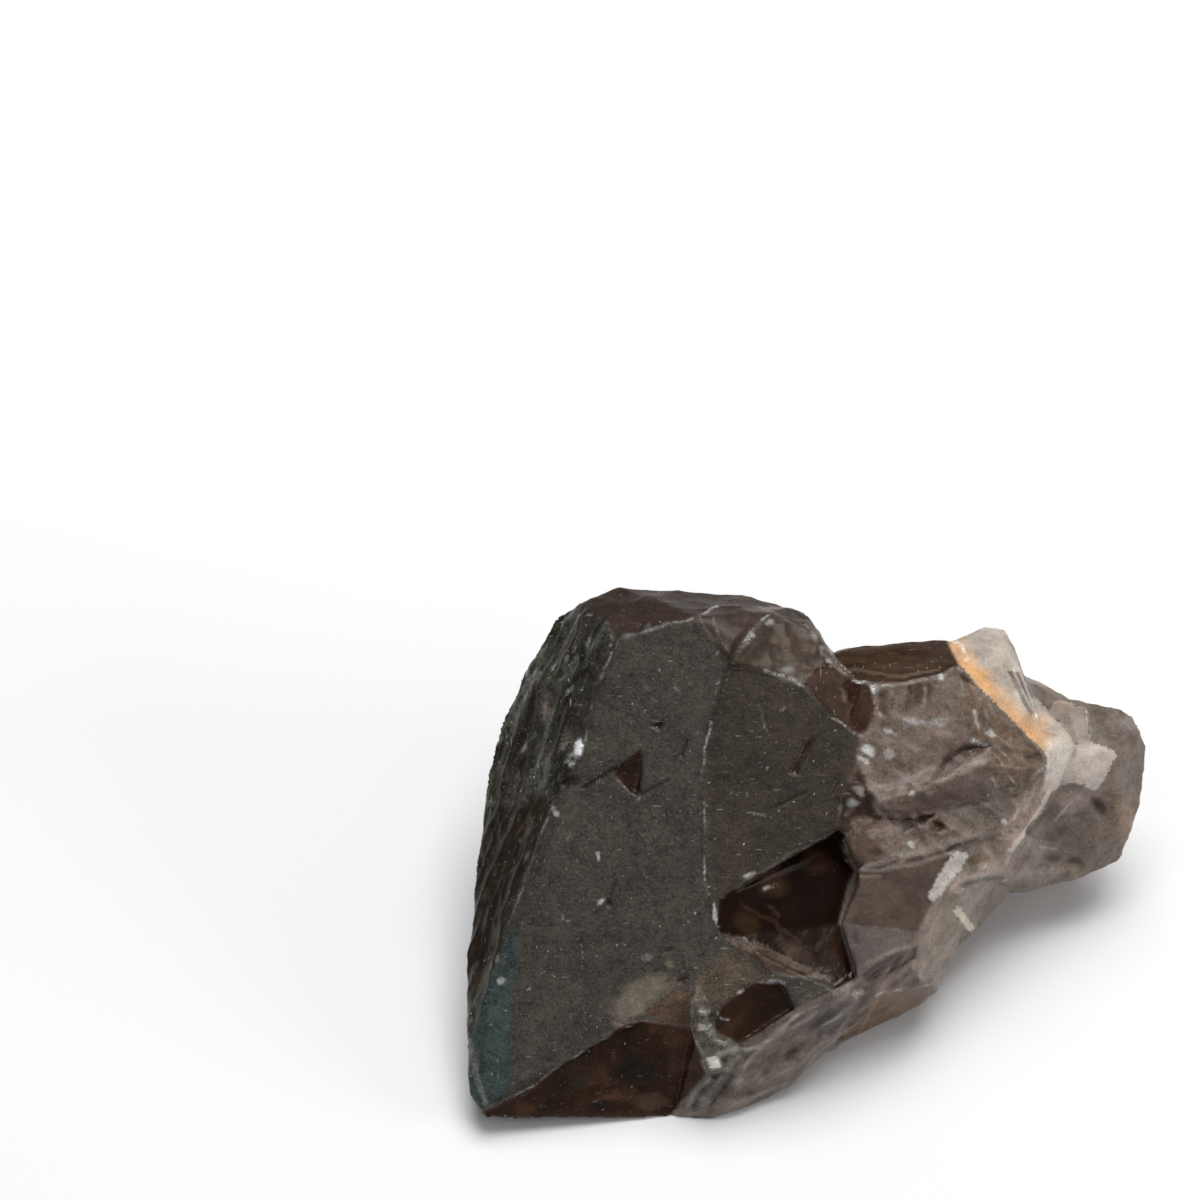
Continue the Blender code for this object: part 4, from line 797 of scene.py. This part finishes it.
def paint(stone):
    """Colour, roughness and white crumbs over the surface, with painted highlights, reflections and shade in places,
    kept as attributes for the materials.
    """
    surface = Surface(stone)
    points = surface.points
    beyond = beyond_band(points)
    count = len(points)

    patches = smooth_step(-0.3, 0.5, fractal(points, 9.0, 3, 101))
    colour = blend(np.tile(FILM, (count, 1)), NEARLY_BLACK, patches * 0.8)
    roughness = 0.44 - 0.18 * patches
    tip = smooth_step(-25.0, -29.0, points[:, 0]) * (1.0 - surface.towards)
    colour = blend(colour, BARK, tip)
    milky = smooth_step(-24.0, -10.0, beyond + 3.0 * fractal(points, 7.0, 2, 107))
    colour = blend(colour, (0.24, 0.19, 0.16), milky)
    colour = blend(colour, (0.40, 0.33, 0.28), smooth_step(-9.0, -1.0, beyond))
    colour = blend(colour, (0.42, 0.34, 0.28), smooth_step(2.0, 4.0, beyond))

    for outline, tone, dull, soft, wander in TONES:
        mask = surface.region(outline, soft, wander)
        colour = blend(colour, tone, mask)
        roughness = roughness + (dull - roughness) * mask
    tail = smooth_step(1.8, 2.6, beyond) * surface.towards
    light = 0.5 + 0.5 * np.clip(fractal(points, 5.0, 3, 113), -1.0, 1.0)
    colour = blend(colour, (0.17, 0.130, 0.102), 0.75 * tail * (1.0 - light))
    mottled = fractal(points, 2.6, 3, 151)
    dark = surface.region(DARK_FACE, 0.3)
    colour = blend(colour, (0.052, 0.024, 0.012), dark * smooth_step(0.05, 0.6, mottled) * 0.8)
    colour = blend(colour, (0.009, 0.006, 0.004), dark * smooth_step(-0.1, -0.6, mottled) * 0.8)

    colour = colour * (1.0 + 0.16 * fractal(points, 4.0, 3, 127))[:, None]
    flank = np.maximum(surface.region(LEFT_FLANK, 0.3), tip)
    streaks = fractal(stretched(points, FLANK_EDGE, 2.2), 1.3, 4, 131)
    low = 1.0 - 0.75 * surface.region(FLANK_LOW, 1.0)
    colour = blend(colour, (0.15, 0.145, 0.12), flank * low * smooth_step(0.15, 0.8, streaks) * 0.85)
    colour = blend(colour, (0.018, 0.014, 0.010), flank * smooth_step(-0.05, -0.55, streaks) * 0.85)
    glints = fractal(stretched(points, FLANK_EDGE, 2.5), 0.7, 2, 139)
    colour = blend(colour, (0.42, 0.42, 0.38), flank * low * smooth_step(0.62, 0.95, glints) * 0.8)
    lower = surface.region(LOWER_FLANK, 0.3)
    worn = fractal(stretched(points, RIGHT + UP, 3.0), 0.9, 3, 143)
    colour = blend(colour, (0.50, 0.43, 0.37), lower * smooth_step(0.2, 0.9, worn) * 0.7)
    colour = blend(colour, (0.12, 0.090, 0.072), lower * smooth_step(-0.2, -0.9, worn) * 0.7)

    band = smooth_step(-0.15, 0.15, beyond) * smooth_step(2.5, 2.2, beyond)
    band *= smooth_step(0.3, -0.3, (points - BAND_CORNER) @ BAND_LOWER)
    stain = band * smooth_step(2.0, 0.5, beyond + 0.4 * surface.wander[0])
    opaque = np.maximum(band, surface.region(WHITE_BAND, 0.15, 0.05))
    opaque *= 1.0 - surface.region(LENS, 0.1)
    colour = blend(colour, (0.405, 0.35, 0.295), opaque)
    colour = blend(colour, (0.34, 0.285, 0.235), opaque * smooth_step(0.0, 0.8, fractal(points, 2.5, 3, 137)))
    colour = blend(colour, (0.58, 0.305, 0.120), stain * (0.80 + 0.20 * surface.wander[1]))
    roughness = roughness + (0.55 - roughness) * opaque

    for centre, radii, turn, tone, strength, wander in SPOTS:
        colour = blend(colour, tone, strength * surface.spot(centre, radii, turn, wander))
    for places, width, tone, strength, wander in LINES:
        colour = blend(colour, tone, strength * np.minimum(1.0, 1.6 * surface.stroke(places, width, wander)))
    for mask, tone in (
            (surface.region(CREAM_FLAKE, 0.12), (0.44, 0.40, 0.36)), (surface.region(CREAM_BAR, 0.12), (0.46, 0.40, 0.32)),
            (np.minimum(1.0, 1.6 * surface.stroke(BAND_LINE, 0.35, 0.05)), (0.50, 0.42, 0.35)),
            (surface.spot((57.8, 75.0), (0.65, 1.25), -8.0, 0.25), (0.62, 0.62, 0.64)),
            (surface.region(WHITE_CHIP, 0.12, 0.05), (0.70, 0.64, 0.56)),
            (surface.region(TAIL_LIGHT, 0.15, 0.1), (0.465, 0.40, 0.35)),
            (surface.region(TAIL_BEIGE, 0.15, 0.1), (0.234, 0.180, 0.145))):
        colour = blend(colour, tone, mask)
        roughness = roughness + (0.5 - roughness) * mask
        opaque = np.maximum(opaque, mask)
    tail_light = surface.region(TAIL_LIGHT, 0.15, 0.1)
    # Painted shade on the pale tail facet: darker at its top, against the light its raised rim catches, and a little
    # darker towards its lower end.
    colour = blend(colour, (0.36, 0.305, 0.265), 0.8 * tail_light * smooth_step(76.8, 75.4, surface.down))
    colour = blend(colour, (0.26, 0.215, 0.190), 0.25 * tail_light * smooth_step(76.6, 79.2, surface.down))

    crumbs = np.zeros(count)
    for places, width, strength, wander in CRUMBLY:
        crumbs = np.maximum(crumbs, strength * np.minimum(1.0, 1.5 * surface.stroke(places, width, wander)))
    crumbs *= np.clip(0.65 + 0.8 * fractal(points, 1.8, 2, 149), 0.1, 1.0)
    # How many white specks and scratches each part gets: real dust and bruising, partly painted glints.
    dust_and_glints = np.full(count, 0.40)
    for outline, share in (
            (FRONT_FACE, 1.0), (LEFT_FLANK, 1.5), (FLANK_LOW, 0.8), (BROW, 0.8), (BLOCK_FRONT, 0.55), (UPPER_FACET, 0.2),
            (LOWER_FACET, 0.2), (DARK_CHINK, 0.15), (HAZE_BEIGE, 0.4), (DARK_FACE, 0.3), (WINDOW, 0.12), (SMALL_WINDOW, 0.12)):
        dust_and_glints += (share - dust_and_glints) * surface.region(outline, 0.2)
    dust_and_glints += (0.12 - dust_and_glints) * opaque
    dust_and_glints += (0.7 - dust_and_glints) * (1.0 - surface.towards)

    mesh = stone.data
    tone = mesh.attributes.new("stone_colour", "FLOAT_COLOR", "POINT")
    tone.data.foreach_set("color", np.hstack([colour, np.ones((count, 1))]).ravel())
    for name, values in (("stone_roughness", roughness), ("stone_crumbs", crumbs), ("stone_dust_and_glints", dust_and_glints)):
        mesh.attributes.new(name, "FLOAT", "POINT").data.foreach_set("value", values)
    return opaque


def mineral_grain():
    """Fine detail that the finishes share: mottle, grain, white specks, partly painted glints, and scratches on Object
    coordinates.
    """
    group = bpy.data.node_groups.new("mineral_grain", "ShaderNodeTree")
    ports = group.interface
    ports.new_socket("Crumbs", in_out="INPUT", socket_type="NodeSocketFloat")
    ports.new_socket("Dust and glints", in_out="INPUT", socket_type="NodeSocketFloat")
    for name in ("Tone", "White", "Height"):
        ports.new_socket(name, in_out="OUTPUT", socket_type="NodeSocketFloat")
    nodes = group.nodes
    given = nodes.new("NodeGroupInput")
    result = nodes.new("NodeGroupOutput")
    place = nodes.new("ShaderNodeTexCoord")

    def fine_noise(size_mm, detail, seed_place=(0.0, 0.0, 0.0), squeeze=(1.0, 1.0, 1.0), turn=(0.0, 0.0, 0.0)):
        mapping = nodes.new("ShaderNodeMapping")
        mapping.inputs["Location"].default_value = seed_place
        mapping.inputs["Rotation"].default_value = turn
        mapping.inputs["Scale"].default_value = [s / (size_mm * MM) for s in squeeze]
        texture = nodes.new("ShaderNodeTexNoise")
        texture.inputs["Scale"].default_value = 1.0
        texture.inputs["Detail"].default_value = detail
        group.links.new(place.outputs["Object"], mapping.inputs["Vector"])
        group.links.new(mapping.outputs["Vector"], texture.inputs["Vector"])
        return texture.outputs["Fac"]

    def ranged(value, low, high, new_low=0.0, new_high=1.0):
        node = nodes.new("ShaderNodeMapRange")
        node.interpolation_type = "SMOOTHSTEP"
        for name, number in (("From Min", low), ("From Max", high), ("To Min", new_low), ("To Max", new_high)):
            node.inputs[name].default_value = number
        group.links.new(value, node.inputs["Value"])
        return node.outputs["Result"]

    def combined(operation, one, two):
        node = nodes.new("ShaderNodeMath")
        node.operation = operation
        for socket, value in zip(node.inputs, (one, two)):
            if isinstance(value, float):
                socket.default_value = value
            else:
                group.links.new(value, socket)
        return node.outputs["Value"]

    mottle = fine_noise(2.4, 4.0)
    patch = fine_noise(0.8, 3.0, (6.0, 2.0, 5.0))
    grain = fine_noise(0.26, 2.0, (3.0, 1.0, 7.0))
    sand = combined("ADD", ranged(patch, 0.25, 0.75, -0.26, 0.26), ranged(grain, 0.25, 0.75, -0.42, 0.42))
    gritty = combined("ADD", combined("MULTIPLY", given.outputs["Dust and glints"], 0.75), 0.25)
    tone = combined("ADD", ranged(mottle, 0.25, 0.75, 0.76, 1.24), combined("MULTIPLY", sand, gritty))

    def specks(size_mm, share, reach_share):
        scattered = nodes.new("ShaderNodeTexVoronoi")
        scale = nodes.new("ShaderNodeMapping")
        uneven = nodes.new("ShaderNodeVectorMath")
        uneven.operation = "MULTIPLY_ADD"
        scale.inputs["Scale"].default_value = (1.0 / (size_mm * MM),) * 3
        uneven.inputs[1].default_value = (0.5, 0.5, 0.5)
        scattered.inputs["Scale"].default_value = 1.0
        group.links.new(place.outputs["Object"], scale.inputs["Vector"])
        group.links.new(grain, uneven.inputs[0])
        group.links.new(scale.outputs["Vector"], uneven.inputs[2])
        group.links.new(uneven.outputs["Vector"], scattered.inputs["Vector"])
        separate = nodes.new("ShaderNodeSeparateColor")
        group.links.new(scattered.outputs["Color"], separate.inputs["Color"])
        reach = ranged(separate.outputs["Red"], 1.0 - share, 1.0, 0.0, reach_share)
        inside = ranged(combined("SUBTRACT", reach, scattered.outputs["Distance"]), 0.0, 0.08)
        return combined("MULTIPLY", inside, ranged(separate.outputs["Green"], 0.0, 1.0, 0.15, 0.75))

    # White specks, partly painted glints, with fine scratches beside them.
    scattered = combined("MAXIMUM", specks(0.7, 0.35, 0.20), specks(2.1, 0.30, 0.13))
    scratch_one = ranged(fine_noise(0.22, 1.0, (9.0, 2.0, 4.0), (1.0, 0.12, 1.0), (0.3, 0.1, 0.5)), 0.70, 0.80, 0.0, 0.4)
    scratch_two = ranged(fine_noise(0.22, 1.0, (1.0, 8.0, 2.0), (0.12, 1.0, 1.0), (0.2, 0.6, -0.4)), 0.71, 0.81, 0.0, 0.4)
    specks_and_glints = combined("MULTIPLY", combined("MAXIMUM", scattered, combined("MAXIMUM", scratch_one, scratch_two)),
                    given.outputs["Dust and glints"])

    uneven = combined("ADD", ranged(fine_noise(0.9, 2.0, (5.0, 5.0, 1.0)), 0.35, 0.65, 0.1, 0.8),
                      ranged(fine_noise(0.2, 2.0, (2.0, 7.0, 3.0)), 0.3, 0.7, -0.35, 0.35))
    solid = ranged(given.outputs["Crumbs"], 0.55, 1.0)
    crumbs = combined("MULTIPLY", combined("MAXIMUM", uneven, solid), ranged(given.outputs["Crumbs"], 0.0, 0.65))
    white = combined("MAXIMUM", crumbs, specks_and_glints)

    height = combined("ADD", combined("MULTIPLY", sand, gritty), white)
    group.links.new(tone, result.inputs["Tone"])
    group.links.new(white, result.inputs["White"])
    group.links.new(height, result.inputs["Height"])
    return group


def finish(name, grain, bump_mm):
    """A material whose colour and roughness come from the attributes, with the shared fine grain over them."""
    material = bpy.data.materials.new(name)
    material.use_nodes = True
    tree = material.node_tree
    nodes, links = tree.nodes, tree.links
    surface = nodes["Principled BSDF"]

    def attribute(attribute_name, output):
        node = nodes.new("ShaderNodeAttribute")
        node.attribute_name = attribute_name
        return node.outputs[output]

    fine = nodes.new("ShaderNodeGroup")
    fine.node_tree = grain
    links.new(attribute("stone_crumbs", "Fac"), fine.inputs["Crumbs"])
    links.new(attribute("stone_dust_and_glints", "Fac"), fine.inputs["Dust and glints"])

    toned = nodes.new("ShaderNodeVectorMath")
    toned.operation = "SCALE"
    links.new(attribute("stone_colour", "Color"), toned.inputs["Vector"])
    links.new(fine.outputs["Tone"], toned.inputs["Scale"])
    whitened = nodes.new("ShaderNodeMix")
    whitened.data_type = "RGBA"
    whitened.inputs["B"].default_value = (*WHITE_CRUMB, 1.0)
    links.new(fine.outputs["White"], whitened.inputs["Factor"])
    links.new(toned.outputs["Vector"], whitened.inputs["A"])
    links.new(whitened.outputs["Result"], surface.inputs["Base Color"])

    duller = nodes.new("ShaderNodeMix")
    duller.inputs["B"].default_value = 0.6
    links.new(fine.outputs["White"], duller.inputs["Factor"])
    links.new(attribute("stone_roughness", "Fac"), duller.inputs["A"])
    links.new(duller.outputs["Result"], surface.inputs["Roughness"])

    bump = nodes.new("ShaderNodeBump")
    bump.inputs["Strength"].default_value = 0.6
    bump.inputs["Distance"].default_value = bump_mm * MM
    links.new(fine.outputs["Height"], bump.inputs["Height"])
    links.new(bump.outputs["Normal"], surface.inputs["Normal"])
    return material, surface


def dress(stone, opaque):
    """Smoky quartz that light passes through, and the opaque cream and orange band across its root."""
    grain = mineral_grain()
    quartz, surface = finish("smoky_quartz", grain, 0.03)
    surface.inputs["Transmission Weight"].default_value = 0.55
    surface.inputs["IOR"].default_value = 1.544
    surface.inputs["Specular IOR Level"].default_value = 0.1
    surface.inputs["Specular Tint"].default_value = (0.92, 0.82, 0.72, 1.0)
    absorb = quartz.node_tree.nodes.new("ShaderNodeVolumeAbsorption")
    absorb.inputs["Color"].default_value = (0.55, 0.38, 0.25, 1.0)
    absorb.inputs["Density"].default_value = 240.0
    quartz.node_tree.links.new(absorb.outputs["Volume"], quartz.node_tree.nodes["Material Output"].inputs["Volume"])
    cream, surface = finish("chevron_cream", grain, 0.05)
    surface.inputs["IOR"].default_value = 1.544
    dark, surface = finish("dark_quartz", grain, 0.03)
    surface.inputs["IOR"].default_value = 1.544
    surface.inputs["Specular IOR Level"].default_value = 0.12
    surface.inputs["Specular Tint"].default_value = (0.92, 0.82, 0.72, 1.0)

    for material in (quartz, cream, dark):
        stone.data.materials.append(material)
    faces = stone.data.polygons
    corners = np.zeros(len(stone.data.loops), np.int32)
    stone.data.loops.foreach_get("vertex_index", corners)
    starts = np.zeros(len(faces), np.int32)
    faces.foreach_get("loop_start", starts)
    first = corners[starts]
    surface = Surface(stone)
    deep = np.maximum.reduce([surface.region(outline, 0.05) for outline in (DARK_FACE, BROWN_PATCH, BLOCK_TOP, KNOB_TOP)])
    shown = np.where(opaque[first] > 0.5, 1, np.where(deep[first] > 0.5, 2, 0))
    faces.foreach_set("material_index", shown.astype(np.int32))
    faces.foreach_set("use_smooth", np.ones(len(faces), bool))
    stone.data.update()


def softbox(name, place, size, power):
    bpy.ops.object.light_add(type="AREA", location=place)
    light = bpy.context.object
    light.name = name
    light.data.shape = "RECTANGLE"
    light.data.size, light.data.size_y = size
    light.data.energy = power
    light.rotation_euler = (-Vector(place)).to_track_quat("-Z", "Y").to_euler()


def studio():
    """A pale floor, soft lights and the camera that looks down at the stone."""
    bpy.ops.object.select_all(action="DESELECT")
    bpy.ops.mesh.primitive_plane_add(size=0.8, location=(0.0, 0.0, -0.1 * MM))
    floor = bpy.context.object
    floor.name = "floor"
    pale = bpy.data.materials.new("pale_floor")
    pale.use_nodes = True
    surface = pale.node_tree.nodes["Principled BSDF"]
    surface.inputs["Base Color"].default_value = (0.85, 0.85, 0.85, 1.0)
    surface.inputs["Roughness"].default_value = 0.9
    surface.inputs["Specular IOR Level"].default_value = 0.0
    floor.data.materials.append(pale)

    softbox("overhead_softbox", (0.12, 0.48, 1.38), (1.1, 1.1), 23.5)
    softbox("front_softbox", (-0.42, -0.52, 1.2), (0.9, 0.7), 1.0)
    softbox("right_softbox", (1.2, -0.25, 0.4), (0.5, 0.5), 5.0)

    world = bpy.data.worlds.new("studio")
    bpy.context.scene.world = world
    world.use_nodes = True
    world.node_tree.nodes["Background"].inputs["Color"].default_value = (0.95, 0.97, 1.0, 1.0)
    world.node_tree.nodes["Background"].inputs["Strength"].default_value = 0.18

    toward = Vector(NEAR)
    bpy.ops.object.camera_add()
    camera = bpy.context.object
    camera.name = "camera"
    camera.location = Vector(MIDDLE) * MM + toward * VIEWER_DISTANCE * MM
    camera.rotation_euler = (-toward).to_track_quat("-Z", "Y").to_euler()
    camera.data.sensor_width = 36.0
    camera.data.lens = 0.5 * camera.data.sensor_width * VIEWER_DISTANCE / PICTURE_MIDDLE
    bpy.context.scene.camera = camera
    bpy.context.scene.view_settings.view_transform = "Standard"


def main():
    stone = copy_of_solid()
    for hidden_end, corners in WEDGES:
        filled(stone, hidden_end, corners)
    applied(stone, "REMESH", mode="VOXEL", voxel_size=VOXEL_MM * MM, adaptivity=0.0)
    applied(stone, "SMOOTH", factor=0.5, iterations=2)
    carve_forms(stone)
    applied(stone, "SMOOTH", factor=0.4, iterations=1)
    carve_grain(stone)
    thin(stone)
    dress(stone, paint(stone))
    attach(stone, "root")
    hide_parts("amethyst_point")
    studio()


main()
